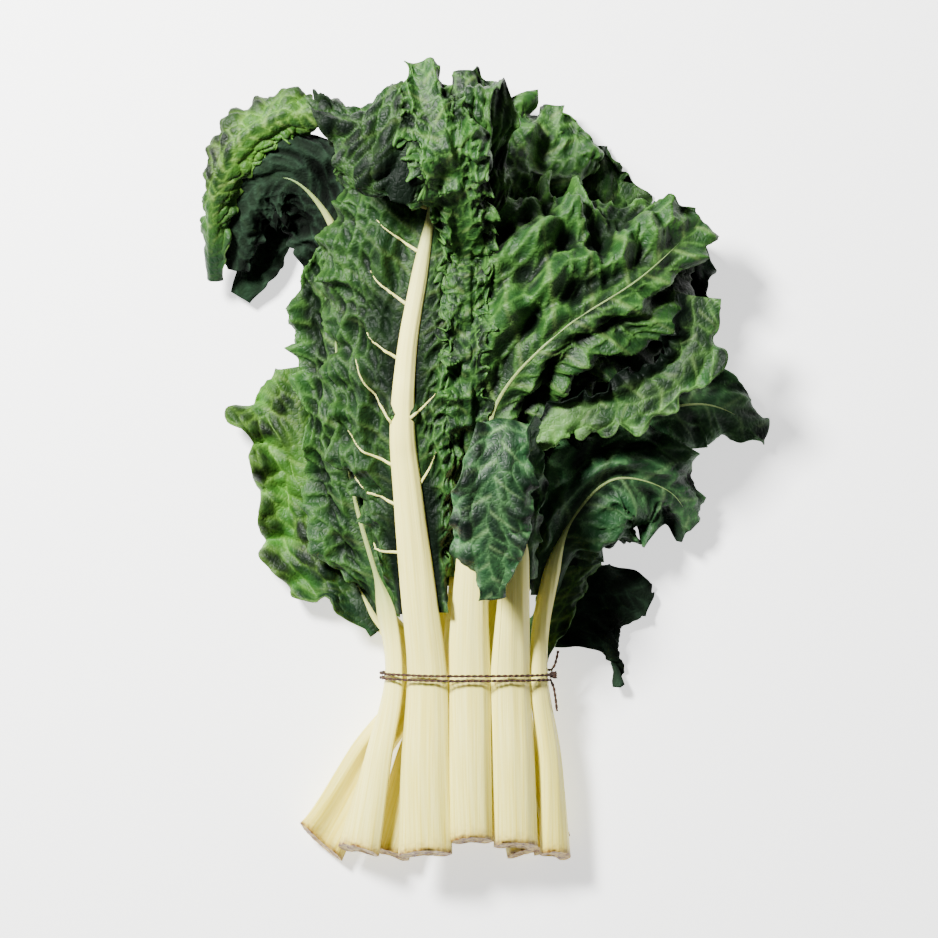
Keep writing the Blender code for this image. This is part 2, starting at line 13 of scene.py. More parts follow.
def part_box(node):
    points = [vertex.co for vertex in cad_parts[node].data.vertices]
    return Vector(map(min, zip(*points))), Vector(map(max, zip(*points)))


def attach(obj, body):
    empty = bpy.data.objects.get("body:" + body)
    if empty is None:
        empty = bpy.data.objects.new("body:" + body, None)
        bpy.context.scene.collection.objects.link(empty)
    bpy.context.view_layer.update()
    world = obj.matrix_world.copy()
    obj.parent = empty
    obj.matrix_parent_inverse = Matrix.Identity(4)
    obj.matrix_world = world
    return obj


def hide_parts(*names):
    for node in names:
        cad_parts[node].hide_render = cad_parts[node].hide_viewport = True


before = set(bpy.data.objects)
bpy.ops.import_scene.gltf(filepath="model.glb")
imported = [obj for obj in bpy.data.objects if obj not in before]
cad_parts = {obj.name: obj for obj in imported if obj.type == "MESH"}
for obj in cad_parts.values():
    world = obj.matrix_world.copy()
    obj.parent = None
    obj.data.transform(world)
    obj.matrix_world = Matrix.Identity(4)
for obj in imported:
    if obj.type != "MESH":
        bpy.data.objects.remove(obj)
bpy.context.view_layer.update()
bpy.ops.object.select_all(action="DESELECT")

# What all leaves share. Their courses are drawn from the middle of the tie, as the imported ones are.
bunch = {
    "stalkThickness": 0.0086, "buttThickness": 0.0098,
    "ribTipWidth": 0.0040, "ribTipThickness": 0.0024, "taper": 1.8,
    "sheetThickness": 0.0016, "ownGap": 0.0007, "flatMargin": 0.001, "wing": 0.0035,
    "waveHeight": 0.0035, "waveLength": 0.075,
    "rollFade": 0.080, "turnWeight": 0.018, "buttRows": 7, "pathSteps": 30,
    "section": [(-1.00, -0.22), (-0.80, 0.20), (-0.42, 0.44), (0.00, 0.50), (0.42, 0.44),
                (0.80, 0.20), (1.00, -0.22), (0.70, -0.50), (0.00, -0.26), (-0.70, -0.50)],
    "matchWithin": 0.00006,   # how near a packed point lies to its drawn place, across
    "bladeThickness": 0.0007,
    "seat": 0.33,             # where the blade meets the rib, as a share of the rib's thickness
    "clearance": 0.0005,      # between one leaf and the one under it
    "easing": 14,             # passes that spread a lift to the points beside it
    "mergeWithin": 0.00002,   # closes the seam of a rolled tube
}
# How every stalk is made. A cut end is hollowed, rough, and leans back by "bevel" as a slope.
stalkForm = {
    "columns": 44, "sectionSteps": 12, "ringStepBelow": 0.0025, "ringStepAbove": 0.002,
    "flutes": 7, "fluteDepth": 0.042, "fluteLength": 0.06, "swell": 0.03, "swellLength": 0.05,
    "evenRings": 8, "joinLength": 0.03, "tipLength": 0.03, "tipLeast": 0.02,
    "capParts": (0.0, 0.25, 0.5, 0.75, 0.92), "hollow": 0.0006, "rough": 0.0007, "grain": 0.0022,
    "bevel": 0.5, "bevelLength": 0.02, "brownLength": 0.003, "leafyLength": 0.02,
}
# What a leaf has unless its own values say otherwise: its painted shade darkens it left, right and by
# the rib.
usual = {"side": 1, "roll": (0, 0), "folds": False, "slant": 0, "paintedShade": (0, 0, 0), "pillow": 0.001}
# The crinkles of every blade; each pair of lengths is along and across the blade.
crinkle = {
    # the net of blisters wanders, leans to the tip, and holds finer blisters
    "bend": 0.45, "bendOver": (0.016, 0.016), "slant": 0.75, "stretch": 1.25, "fine": 0.45,
    "domed": 1.7, "fineShare": 0.30, "sunk": 0.65,
    # the side veins
    "curl": 3.0, "veinWander": 0.18, "veinOver": (0.05, 0.05), "veinWidth": 0.0009,
    # soft folds and sharp creases, their shares, and how the pleats wander: share, lengths, seed
    "foldOver": (0.032, 0.024), "creaseOver": (0.017, 0.013), "foldShare": (1.3, 0.7),
    "pleatBends": ((0.55, (0.045, 0.06), 13), (0.22, (0.018, 0.03), 14)),
    # where the crinkles start beside the rib and above the blade's foot, and what counts as high
    "besideRib": 0.010, "start": 0.03, "heightSpan": 0.012,
    # the margin's teeth and its ruffle, which is out of step left and right
    "toothLength": 0.0065, "tooth": 0.035, "leastReach": 0.12, "marginPower": 2.4, "slide": 0.2,
    "rippleWander": 2.4, "rippleOver": 0.04, "rightRipple": 1.9,
    "secondRipple": 0.35, "secondPace": 2.3,
    # evening of the imported lifts, the patches and spread of the painted shade, and the line a leaf
    # folds on
    "evenOver": 0.012, "shadeOver": (0.03, 0.022), "shadeFrom": 0.15, "shadeTo": 0.7,
    "crestOver": 0.017,
}
placed = {"points": [], "faces": []}   # every finished leaf so far, which the next one lies on
packedStalks = []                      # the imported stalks' rings, which the twine goes round
packedColumns = np.arange(-4.0, 5.0)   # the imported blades' columns


def unit(vectors):
    return vectors / np.maximum(np.linalg.norm(vectors, axis=-1, keepdims=True), 1e-12)


def smooth(low, high, value):
    share = np.clip((value - low) / (high - low), 0.0, 1.0)
    return share * share * (3 - 2 * share)


def chance(x, y, seed):
    # a repeatable number from 0 to 1 for each whole place
    n = np.sin(x * 127.1 + y * 311.7 + seed * 74.7) * 43758.5453
    return n - np.floor(n)


def softNoise(x, y, seed):
    # smooth noise from -1 to 1, one unit across
    i, j = np.floor(x), np.floor(y)
    a, b = x - i, y - j
    a, b = a * a * (3 - 2 * a), b * b * (3 - 2 * b)
    low = chance(i, j, seed) * (1 - a) + chance(i + 1, j, seed) * a
    high = chance(i, j + 1, seed) * (1 - a) + chance(i + 1, j + 1, seed) * a
    return 2 * (low * (1 - b) + high * b) - 1


def wander(along, across, over, seed):
    # soft noise over so many metres along and across
    return softNoise(along / over[0], across / over[1], seed)


def cells(x, y, seed):
    # 0 on the borders of a net of cells one unit across, up to about 1 inside them
    i, j = np.floor(x), np.floor(y)
    nearest = np.full(x.shape, 9.0)
    second = np.full(x.shape, 9.0)
    for di in (-1, 0, 1):
        for dj in (-1, 0, 1):
            cx = i + di + 0.5 + 0.42 * (2 * chance(i + di, j + dj, seed) - 1)
            cy = j + dj + 0.5 + 0.42 * (2 * chance(i + di, j + dj, seed + 17) - 1)
            away = np.hypot(x - cx, y - cy)
            second = np.minimum(second, np.maximum(nearest, away))
            nearest = np.minimum(nearest, away)
    return np.clip(second - nearest, 0.0, 1.0)


def tableAt(rows, share):
    shares = [row[0] for row in rows]
    return [np.interp(share, shares, [row[k] for row in rows]) for k in range(1, len(rows[0]))]


def curveThrough(points, steps):
    # a centripetal Catmull-Rom curve as a dense polyline
    points = np.array(points)
    padded = np.vstack([2 * points[0] - points[1], points, 2 * points[-1] - points[-2]])
    chords = np.linalg.norm(np.diff(padded, axis=0), axis=1)
    knots = np.concatenate([[0.0], np.cumsum(chords ** 0.5)])
    curve = []
    for i in range(1, len(padded) - 2):
        p0, p1, p2, p3 = padded[i - 1:i + 3]
        t0, t1, t2, t3 = knots[i - 1:i + 3]
        for t in np.linspace(t1, t2, steps, endpoint=False):
            a1 = ((t1 - t) * p0 + (t - t0) * p1) / (t1 - t0)
            a2 = ((t2 - t) * p1 + (t - t1) * p2) / (t2 - t1)
            a3 = ((t3 - t) * p2 + (t - t2) * p3) / (t3 - t2)
            b1 = ((t2 - t) * a1 + (t - t0) * a2) / (t2 - t0)
            b2 = ((t3 - t) * a2 + (t - t1) * a3) / (t3 - t1)
            curve.append(((t2 - t) * b1 + (t - t1) * b2) / (t2 - t1))
    curve.append(points[-1])
    return np.array(curve)


def makeCourse(leaf):
    path = curveThrough(leaf["spine"], bunch["pathSteps"])
    steps = np.linalg.norm(np.diff(path, axis=0), axis=1)
    length = np.concatenate([[0.0], np.cumsum(steps)])
    crossing = int(np.argmax(path[:, 1] >= 0.0)) + 1
    tangent = unit(np.gradient(path, axis=0))
    crosswise = np.array([1.0, 0.0, 0.0])
    side = crosswise
    sides = []
    for direction in tangent:
        side = crosswise if leaf["folds"] else side
        side = unit(side - np.dot(side, direction) * direction)
        sides.append(side)
    turning = np.linalg.norm(np.diff(tangent, axis=0), axis=1)
    return {
        "path": path, "length": length, "total": length[-1],
        "tie": max(1e-6, float(np.interp(0.0, path[:crossing, 1], length[:crossing]))),
        "tangent": tangent, "across": np.array(sides),
        "measure": np.concatenate([[0.0], np.cumsum(steps + bunch["turnWeight"] * turning)]),
        "roll": [math.radians(angle) for angle in leaf["roll"]],
    }


def frames(course, distances):
    # places, directions across and directions up at distances along the course
    def read(rows):
        read3 = [np.interp(distances, course["length"], rows[:, k]) for k in range(3)]
        return np.stack(read3, axis=1)
    tangent = unit(read(course["tangent"]))
    across = read(course["across"])
    across = unit(across - (across * tangent).sum(axis=1, keepdims=True) * tangent)
    up = np.cross(across, tangent)
    fade = 1.0 - np.clip((distances - course["tie"]) / bunch["rollFade"], 0.0, 1.0)
    below = np.maximum(0.0, 1.0 - distances / course["tie"])
    atButt, atTie = course["roll"]
    turn = (atTie * fade * fade * (3 - 2 * fade) * (1 - below) + atButt * below)[:, None]
    return (read(course["path"]), across * np.cos(turn) + up * np.sin(turn),
            up * np.cos(turn) - across * np.sin(turn))


def stationsOf(leaf, course):
    start = course["tie"] + leaf["start"]
    below = np.linspace(0.0, start, bunch["buttRows"])[:-1]
    first = np.interp(start, course["length"], course["measure"])
    marks = np.linspace(first, course["measure"][-1], leaf["rows"])
    above = np.interp(marks, course["measure"], course["length"])
    return np.concatenate([below, above]), len(below)


def stalkSize(leaf, course, distances):
    share = np.minimum(1.0, distances / course["tie"])
    left = np.clip((course["total"] - distances) / (course["total"] - course["tie"]), 0.0, 1.0)
    left = left ** bunch["taper"]
    widths = leaf["butt"], leaf["tie"], bunch["ribTipWidth"]
    thicknesses = bunch["buttThickness"], bunch["stalkThickness"], bunch["ribTipThickness"]
    return [np.where(share < 1.0, butt + (tied - butt) * share, tip + (tied - tip) * left)
            for butt, tied, tip in (widths, thicknesses)]


def sheetSurface(leaf, course, distances, columns, drop, outline, reachScale=1.0):
    # The blade's middle surface, drop below the rib's middle. A column runs from -4 at the left
    # margin to 4 at the right one, and the part from -1 to 1 lies flat under the rib.
    places, across, up = frames(course, distances)
    width, thick = stalkSize(leaf, course, distances)
    share = (distances - distances[0]) / (distances[-1] - distances[0])
    reach = tableAt(outline, share)
    bend = tableAt(leaf["bend"], share)
    aboveTie = distances - course["tie"]
    wave = bunch["waveHeight"] * np.sin(2 * np.pi * aboveTie / bunch["waveLength"])
    flat = (width / 2 + bunch["flatMargin"])[:, None]
    right = columns[None, :] >= 0
    sign = np.where(right, 1.0, -1.0)
    outer = np.clip((np.abs(columns) - 1) / 3, 0.0, 1.0)[None, :]
    wanted = np.where(right, reach[1][:, None], reach[0][:, None]) * reachScale
    free = np.maximum(wanted, flat + bunch["wing"]) - flat
    first = np.radians(np.where(right, bend[2][:, None], bend[0][:, None]))
    turn = np.radians(np.where(right, bend[3][:, None], bend[1][:, None])) - first
    turn = np.where(np.abs(turn) < 1e-4, 1e-4, turn)
    out = (np.sin(first + turn * outer) - np.sin(first)) / turn * free
    rise = (np.cos(first) - np.cos(first + turn * outer)) / turn * free
    rise = rise + sign * wave[:, None] * outer ** 2
    underRib = flat * np.minimum(1.0, np.abs(columns))[None, :]
    sideways = (sign * (underRib + out))[..., None]
    middle = places - up * leaf["side"] * drop[:, None]
    surface = middle[:, None] + across[:, None] * sideways + up[:, None] * rise[..., None]
    return surface, sign * (underRib + outer * free), outer


def ribSlim(leaf, course, distances):
    # the real rib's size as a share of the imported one's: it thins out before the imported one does
    begin, end, least = leaf["ribFade"]
    return 1 - (1 - least) * smooth(begin, end, distances - course["tie"])


def packedLift(node, drawn):
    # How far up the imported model's points lie above their drawn places; NaN where there is none.
    points = [v.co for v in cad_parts[node].data.vertices]
    tree = KDTree(len(points))
    for k, point in enumerate(points):
        tree.insert((point.x, point.y, 0.0), k)
    tree.balance()
    lifts = []
    for x, y, z in drawn.reshape(-1, 3):
        place, k, away = tree.find((x + shift[0], y + shift[1], 0.0))
        lifts.append(points[k].z - z if away < bunch["matchWithin"] else np.nan)
    return np.array(lifts).reshape(drawn.shape[:-1])


def neighbours(padded):
    # each inner point's neighbours in a grid: below, above, right and left of it
    return padded[2:, 1:-1], padded[:-2, 1:-1], padded[1:-1, 2:], padded[1:-1, :-2]


def filled(values):
    # a grid with each missing value made from the ones beside it
    values = values.copy()
    while np.isnan(values).any():
        beside = np.stack(neighbours(np.pad(values, 1, constant_values=np.nan)))
        known = np.sum(~np.isnan(beside), axis=0)
        mean = np.nansum(beside, axis=0) / np.maximum(known, 1)
        values = np.where(np.isnan(values) & (known > 0), mean, values)
    return values


def spread(grid, rowPlaces, columnPlaces, rowsAt, columnsAt):
    # a coarse grid of values read at finer rows and columns
    across = np.stack([np.interp(columnsAt, columnPlaces, row) for row in grid])
    return np.stack([np.interp(rowsAt, rowPlaces, column) for column in across.T], axis=1)


def blurred(grid, passes):
    for _ in range(passes):
        below, above, right, left = neighbours(np.pad(grid, 1, mode="edge"))
        grid = (below + above + right + left + 2 * grid) / 6
    return grid


def stalkRings(leaf, course, distances, section):
    places, across, up = frames(course, distances)
    width, thick = stalkSize(leaf, course, distances)
    a, n = np.array(section).T
    return (places[:, None] + across[:, None] * (a[None] * width[:, None] / 2)[..., None]
            + up[:, None] * (leaf["side"] * n[None] * thick[:, None])[..., None])


def gridObject(name, points, closed, uv, values):
    # A grid primitive whose points are set in place; a closed one is rolled into a tube and merged.
    rows, columns = points.shape[:2]
    bpy.ops.mesh.primitive_grid_add(x_subdivisions=columns - 1, y_subdivisions=rows - 1, size=2)
    made = bpy.context.object
    made.name = name
    mesh = made.data
    mesh.name = name
    flat = np.zeros(rows * columns * 3, np.float32)
    mesh.vertices.foreach_get("co", flat)
    flat = flat.reshape(-1, 3)
    j = np.rint((flat[:, 0] + 1) / 2 * (columns - 1)).astype(int)
    i = np.rint((flat[:, 1] + 1) / 2 * (rows - 1)).astype(int)
    mesh.vertices.foreach_set("co", points[i, j].astype(np.float32).reshape(-1))
    corner = np.zeros(len(mesh.loops), np.int32)
    mesh.loops.foreach_get("vertex_index", corner)
    layer = mesh.uv_layers.active or mesh.uv_layers.new(name="UVMap")
    layer.data.foreach_set("uv", uv[i, j][corner].astype(np.float32).reshape(-1))
    for key, value in values.items():
        field = mesh.attributes.new(key, "FLOAT", "POINT")
        field.data.foreach_set("value", value[i, j].astype(np.float32))
    if closed:
        bpy.ops.object.mode_set(mode="EDIT")
        bpy.ops.mesh.select_all(action="SELECT")
        bpy.ops.mesh.remove_doubles(threshold=bunch["mergeWithin"])
        bpy.ops.mesh.normals_make_consistent(inside=False)
        bpy.ops.object.mode_set(mode="OBJECT")
    bpy.ops.object.shade_smooth()
    return made


def applied(made, kind, **settings):
    bpy.context.view_layer.objects.active = made
    modifier = made.modifiers.new(kind.title(), kind)
    for key, value in settings.items():
        setattr(modifier, key, value)
    bpy.ops.object.modifier_apply(modifier=modifier.name)


def layDown(grid):
    # adds a grid of points to what the next leaf lies on
    rows, columns = grid.shape[:2]
    first = len(placed["points"])
    placed["points"] += [Vector(point) for point in grid.reshape(-1, 3)]
    for i in range(rows - 1):
        for k in range(first + i * columns, first + (i + 1) * columns - 1):
            placed["faces"].append((k, k + 1, k + columns + 1, k + columns))


def restOn(surface, middleColumns):
    # Lifts of a fine grid of points that keep it clear of the leaves under it; the rib's columns
    # rise together, so that the rib stays on its blade.
    if not placed["faces"]:
        return np.zeros(surface.shape[:2])
    below = BVHTree.FromPolygons(placed["points"], placed["faces"])
    need = np.zeros(surface.shape[:2])
    for i, row in enumerate(surface):
        for j, (x, y, z) in enumerate(row):
            hit = below.ray_cast(Vector((x, y, 1.0)), Vector((0.0, 0.0, -1.0)))[0]
            if hit is not None:
                need[i, j] = max(0.0, hit.z + bunch["clearance"] - z)
    need[:, middleColumns] = need[:, middleColumns].max(axis=1, keepdims=True)
    lift = need.copy()
    for _ in range(bunch["easing"]):
        lift = np.maximum(need, blurred(lift, 1))
    return lift


def crumpled(leaf, along, sideways, outer, ribHalf, calm):
    # How far each point of a blade stands out of its smooth surface, and how it slides along it.
    seed, right, far = leaf["seed"], sideways >= 0, np.abs(sideways)
    cellLeft, cellRight = np.broadcast_to(leaf["cell"], 2)   # one size, or one for each side
    cell = np.where(right, cellRight, cellLeft)
    bendX, bendY = [crinkle["bend"] * wander(along, sideways, crinkle["bendOver"], seed + k)
                    for k in (1, 2)]
    slanted = along - crinkle["slant"] * far
    net = cells(slanted / (crinkle["stretch"] * cell) + bendX, sideways / cell + bendY, seed + 3)
    fine = crinkle["fine"] * cell
    fineNet = cells(slanted / fine - bendY, sideways / fine + bendX, seed + 5)
    dome, fineDome = [np.sqrt(np.clip(part * crinkle["domed"], 0.0, 1.0))
                      for part in (net, fineNet)]

    # the side veins, and the soft swelling between them
    phase = (slanted + crinkle["curl"] * far ** 2) / leaf["lateral"] + np.where(right, 0.5, 0.0)
    phase = phase + crinkle["veinWander"] * wander(along, sideways, crinkle["veinOver"], seed + 7)
    toVein = np.abs(phase - np.rint(phase)) * leaf["lateral"]
    pillow = np.cos(2 * np.pi * phase)

    # folds with sharp creases among them, and pleats that run along the blade
    soft, sharp = crinkle["foldShare"]
    fold = soft * wander(slanted, sideways, crinkle["foldOver"], seed + 8)
    crease = wander(slanted, sideways, crinkle["creaseOver"], seed + 9)
    fold = fold + sharp * (1 - 2 * np.abs(crease))
    bends = [share * wander(along, sideways, over, seed + k)
             for share, over, k in crinkle["pleatBends"]]
    pleat = np.cos(2 * np.pi * (sideways / leaf["pleatWidth"] + (bends[0] + bends[1])))
    out = -leaf["blister"] * (dome + crinkle["fineShare"] * fineDome - crinkle["sunk"])
    out = out + leaf["fold"] * fold
    out = out + leaf["pillow"] * pillow * (1 - 0.4 * outer) + leaf["pleat"] * pleat

    # the ruffle grows towards the margin
    ripple = 2 * np.pi * along / leaf["ruffleLength"]
    drift = softNoise(along / crinkle["rippleOver"], outer * 0 + 3.0, seed + 11)
    ripple = ripple + crinkle["rippleWander"] * drift
    ripple = ripple + np.where(right, crinkle["rightRipple"], 0.0)
    grow = calm * outer ** crinkle["marginPower"]
    out = out * smooth(0.0, crinkle["besideRib"], far - ribHalf)
    second = crinkle["secondRipple"] * np.sin(crinkle["secondPace"] * ripple + 1.0)
    out = out + leaf["ruffle"] * grow * (np.sin(ripple) + second)
    slide = leaf["ruffle"] * crinkle["slide"] * grow * np.cos(ripple)
    veinWidth = crinkle["veinWidth"] * (1.15 - 0.80 * outer)
    vein = np.exp(-(toVein / veinWidth) ** 2) * (1 - 0.75 * outer)
    return out, slide, {"net": 1 - dome * (0.55 + 0.45 * fineDome), "vein": vein,
                        "edge": outer + 0 * out,
                        "height": np.clip(0.5 + out / crinkle["heightSpan"], 0.0, 1.0)}


def packedLifts(name, leaf, course, distances, butt):
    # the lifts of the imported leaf's rings, and of its blade's points
    rings = stalkRings(leaf, course, distances[:-1], bunch["section"])
    ringLift = packedLift(f"{name}_stalk", rings)
    packedStalks.append(rings + np.stack([0 * ringLift, 0 * ringLift, filled(ringLift)], axis=-1))
    ringLift = np.nanmean(ringLift, axis=1)
    stations = distances[butt:]
    drop = stalkSize(leaf, course, stations)[1] / 2 + bunch["ownGap"] + bunch["sheetThickness"] / 2
    drawn = sheetSurface(leaf, course, stations, packedColumns, drop, leaf["reach"])[0]
    normal = unit(np.cross(np.gradient(drawn, axis=1), np.gradient(drawn, axis=0)))
    upper, lower = [packedLift(f"{name}_blade", drawn + normal * bunch["sheetThickness"] / 2 * s)
                    for s in (1, -1)]
    sheetLift = filled(np.where(np.isnan(upper), lower, upper))
    sheetLift[:-1, 3:6] = ringLift[butt:, None]
    return ringLift, sheetLift


def makeBlade(name, leaf, course, stations, sheetLift):
    # A finely crumpled blade on its course, resting on the leaves below it.
    step, seed = leaf["step"], leaf["seed"]
    outline = leaf.get("outline", leaf["reach"])
    start = stations[0]
    end = start + (stations[-1] - start) * leaf.get("until", 1.0)
    rowsAt = np.linspace(start, end, int((end - start) / step) + 2)
    outside = int(max(max(row[1:]) for row in outline) / step) + 3
    inside = max(3, int(leaf["tie"] / 2 / step / 1.5))
    half = np.concatenate([np.linspace(0.0, 1.0, inside, endpoint=False),
                           np.linspace(1.0, 4.0, outside)])
    columnsAt = np.concatenate([-half[:0:-1], half])
    share = (rowsAt - start) / (end - start)

    # the outline: rounded at the tip, with lobes and small teeth that differ left and right
    right, rows = columnsAt[None, :] >= 0, rowsAt[:, None]
    lobes = 2 * np.abs(softNoise(rows / leaf["lobeLength"], right * 5.3 + 0.5, seed + 21)) - 0.6
    teeth = softNoise(rows / crinkle["toothLength"], right * 3.1 + 0.5, seed + 22)
    pastRound = np.maximum(0.0, share - leaf["round"]) / (1 - leaf["round"])
    tip = np.sqrt(np.clip(1 - pastRound ** 2, 0.0, 1.0))
    reachScale = 1 + leaf["lobe"] * lobes + crinkle["tooth"] * teeth
    reachScale = reachScale * np.maximum(crinkle["leastReach"], tip)[:, None]
    width, thick = stalkSize(leaf, course, rowsAt)
    slim = ribSlim(leaf, course, rowsAt)
    drop = thick * slim * bunch["seat"]
    surface, sideways, outer = sheetSurface(
        leaf, course, rowsAt, columnsAt, drop, outline, reachScale)
    lift = spread(sheetLift, stations, packedColumns, rowsAt, columnsAt)
    surface[..., 2] += blurred(lift, int(crinkle["evenOver"] / step))

    along = np.broadcast_to((rowsAt - start)[:, None], sideways.shape)
    outer = np.broadcast_to(outer, sideways.shape)
    ribHalf = (width / 2 * slim)[:, None]
    out, slide, values = crumpled(leaf, along, sideways, outer, ribHalf, tip[:, None])
    values["share"] = np.broadcast_to(share[:, None], sideways.shape)
    # painted shade: darker by the rib in patches and on each side towards the margins, where shade
    # falls
    leftPaintedShade, rightPaintedShade, ribPaintedShade = leaf["paintedShade"]
    ribPaintedShade = ribPaintedShade * (0.75 + 0.5 * wander(along, sideways, crinkle["shadeOver"], seed + 41))
    sidePaintedShade = np.where(sideways < 0, leftPaintedShade, rightPaintedShade)
    fromRib = smooth(crinkle["shadeFrom"], crinkle["shadeTo"], outer)
    values["paintedShade"] = ribPaintedShade + (sidePaintedShade - ribPaintedShade) * fromRib
    tangent = unit(np.gradient(surface, axis=0))
    normal = unit(np.cross(np.gradient(surface, axis=1), tangent))
    begin = smooth(0.0, crinkle["start"], along)
    surface = surface + normal * (out * begin * leaf["side"])[..., None]
    surface = surface + tangent * (slide * begin)[..., None]
    if leaf["folds"]:
        # the line it folds over on wanders
        toCrest = surface[..., 1].max() - surface[..., 1]
        nearCrest = np.exp(-(toCrest / leaf["crestDepth"]) ** 2)
        crest = 0.5 + softNoise(surface[..., 0] / crinkle["crestOver"], 0 * outer, seed + 43)
        surface[..., 1] += leaf["crest"] * crest * nearCrest
    surface[..., :2] += shift
    surface[..., 2] = np.maximum(surface[..., 2], bunch["bladeThickness"])
    middle = np.abs(columnsAt) <= 1.0
    rest = restOn(surface, middle)
    surface[..., 2] += rest
    blade = gridObject(name, surface, False, np.stack([sideways, along], axis=-1), values)
    applied(blade, "SOLIDIFY", thickness=bunch["bladeThickness"], offset=0.0)
    print(f"{name}: {2 * len(blade.data.polygons)} triangles, "
          f"rests {rest.max() * 1000:.1f} mm higher at most")
    return blade, surface, sideways, rowsAt, rest[:, middle].mean(axis=1)


def makeStalk(name, leaf, course, distances, ringLift, start, rowsAt, rowRest):
    # A fluted stalk that thins into the midrib, on the same lifts as its blade, with a browned
    # cut end.
    seed, form, turns = leaf["seed"], stalkForm, stalkForm["columns"]
    corners, steps = bunch["section"], stalkForm["sectionSteps"]
    smoothed = curveThrough([(a, n, 0.0) for a, n in corners + corners[:3]], steps)
    smoothed = smoothed[steps:steps * (len(corners) + 1) + 1, :2]
    pick = np.linspace(0, len(smoothed) - 1, turns + 1)
    places = np.arange(len(smoothed))
    section = np.stack([np.interp(pick, places, smoothed[:, k]) for k in range(2)], axis=1)
    end = min(distances[-2], rowsAt[-1])
    ringsAt = np.concatenate([
        np.linspace(0.0, start, int(start / form["ringStepBelow"]), endpoint=False),
        np.arange(start, end, form["ringStepAbove"])])
    centre = frames(course, ringsAt)[0][:, None]
    angle = np.linspace(0, 1, turns + 1)
    down = ringsAt[:, None]
    flute = np.cos(2 * np.pi * angle * form["flutes"] + seed)[None]
    flute = flute * (0.6 + 0.5 * softNoise(down / form["fluteLength"], 6 * angle[None], seed + 31))
    around = np.cos(2 * np.pi * angle)[None] * 1.3
    swell = softNoise(down / form["swellLength"], around, seed + 32)
    toTip = (ringsAt[-1] - ringsAt) / form["tipLength"]
    closing = np.clip(toTip, form["tipLeast"], 1.0) ** 0.5
    size = leaf.get("plump", 1.0) * ribSlim(leaf, course, ringsAt) * closing
    bulge = 1 + form["fluteDepth"] * flute + form["swell"] * swell
    tube = stalkRings(leaf, course, ringsAt, section)
    tube = centre + (tube - centre) * (size[:, None] * bulge)[..., None]
    joined = smooth(start - form["joinLength"], start, ringsAt)
    rowRest = np.interp(ringsAt, rowsAt, rowRest) * joined
    lift = np.interp(ringsAt, distances[:-1], ringLift) + rowRest
    beside, window = form["evenRings"], 2 * form["evenRings"] + 1
    lift = np.convolve(np.pad(lift, beside, mode="edge"), np.full(window, 1 / window), mode="valid")
    tube[..., 2] += lift[:, None]

    # the cut end and the tip close in rings that shrink to a point
    nearCut = np.array([0.004])
    stem = unit(frames(course, nearCut)[0] - centre[0])[0]
    hub = tube[0, :-1].mean(axis=0)
    cap = []
    for part in form["capParts"]:
        ring = hub + (tube[0] - hub) * part
        rough = softNoise(ring[:, 0] / form["grain"], ring[:, 2] / form["grain"], seed + 33)
        inwards = rough * form["rough"] + form["hollow"] * (1 - part ** 2)
        cap.append(ring + stem * inwards[:, None])
    cap[0] = np.repeat(cap[0].mean(axis=0, keepdims=True), turns + 1, axis=0)
    tip = np.broadcast_to(tube[-1, :-1].mean(axis=0), (1, turns + 1, 3))
    tube = np.concatenate([cap, tube, tip])
    fromCut = np.concatenate([np.zeros(len(cap)), ringsAt, ringsAt[-1:]])
    bevel = leaf["slant"] * (tube[..., 0] - hub[0]) + form["bevel"] * (tube[..., 2] - hub[2])
    tube[..., 1] += bevel * np.exp(-fromCut / form["bevelLength"])[:, None]
    tube[..., :2] += shift
    begin, end, least = leaf["ribFade"]
    leafy = smooth(begin - form["leafyLength"], end, fromCut - course["tie"])
    values = {"cut": np.exp(-fromCut / form["brownLength"]), "share": fromCut / course["total"],
              "tint": 0 * fromCut + chance(seed, 3.0, 7), "leafy": (1 - least) * leafy}
    values = {key: np.broadcast_to(value[:, None], tube.shape[:2]) for key, value in values.items()}
    uv = np.stack(np.broadcast_arrays(angle[None], fromCut[:, None]), axis=-1)
    return gridObject(name, tube, True, uv, values), tube


def belongs(piece, node, finish):
    piece.data.materials.clear()
    piece.data.materials.append(finishes[finish])
    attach(piece, "root")
    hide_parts(node)


def growLeaf(name, leaf):
    course = makeCourse(leaf)
    distances, butt = stationsOf(leaf, course)
    ringLift, sheetLift = packedLifts(name, leaf, course, distances, butt)
    blade, surface, sideways, rowsAt, rowRest = makeBlade(
        f"{name}Leaf", leaf, course, distances[butt:], sheetLift)
    stalk, tube = makeStalk(
        f"{name}Stem", leaf, course, distances, ringLift, distances[butt], rowsAt, rowRest)
    layDown(surface[::2, ::2])
    layDown(tube[::2, ::4])
    belongs(blade, f"{name}_blade", leaf["finish"])
    belongs(stalk, f"{name}_stalk", "stalk")
    return surface, sideways, rowsAt


def layFold(name, node, fold):
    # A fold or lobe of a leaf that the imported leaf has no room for: a sheet laid on those below it.
    fold = {**usual, "butt": 0.001, "tie": 0.001, "ribFade": (-0.2, -0.1, 0.1), **fold}
    course = makeCourse(fold)
    stations = np.array([0.0, course["total"]])
    flat = np.zeros((len(stations), len(packedColumns)))
    blade, surface = makeBlade(name, fold, course, stations, flat)[:2]
    layDown(surface[::2, ::2])
    belongs(blade, node, fold["finish"])


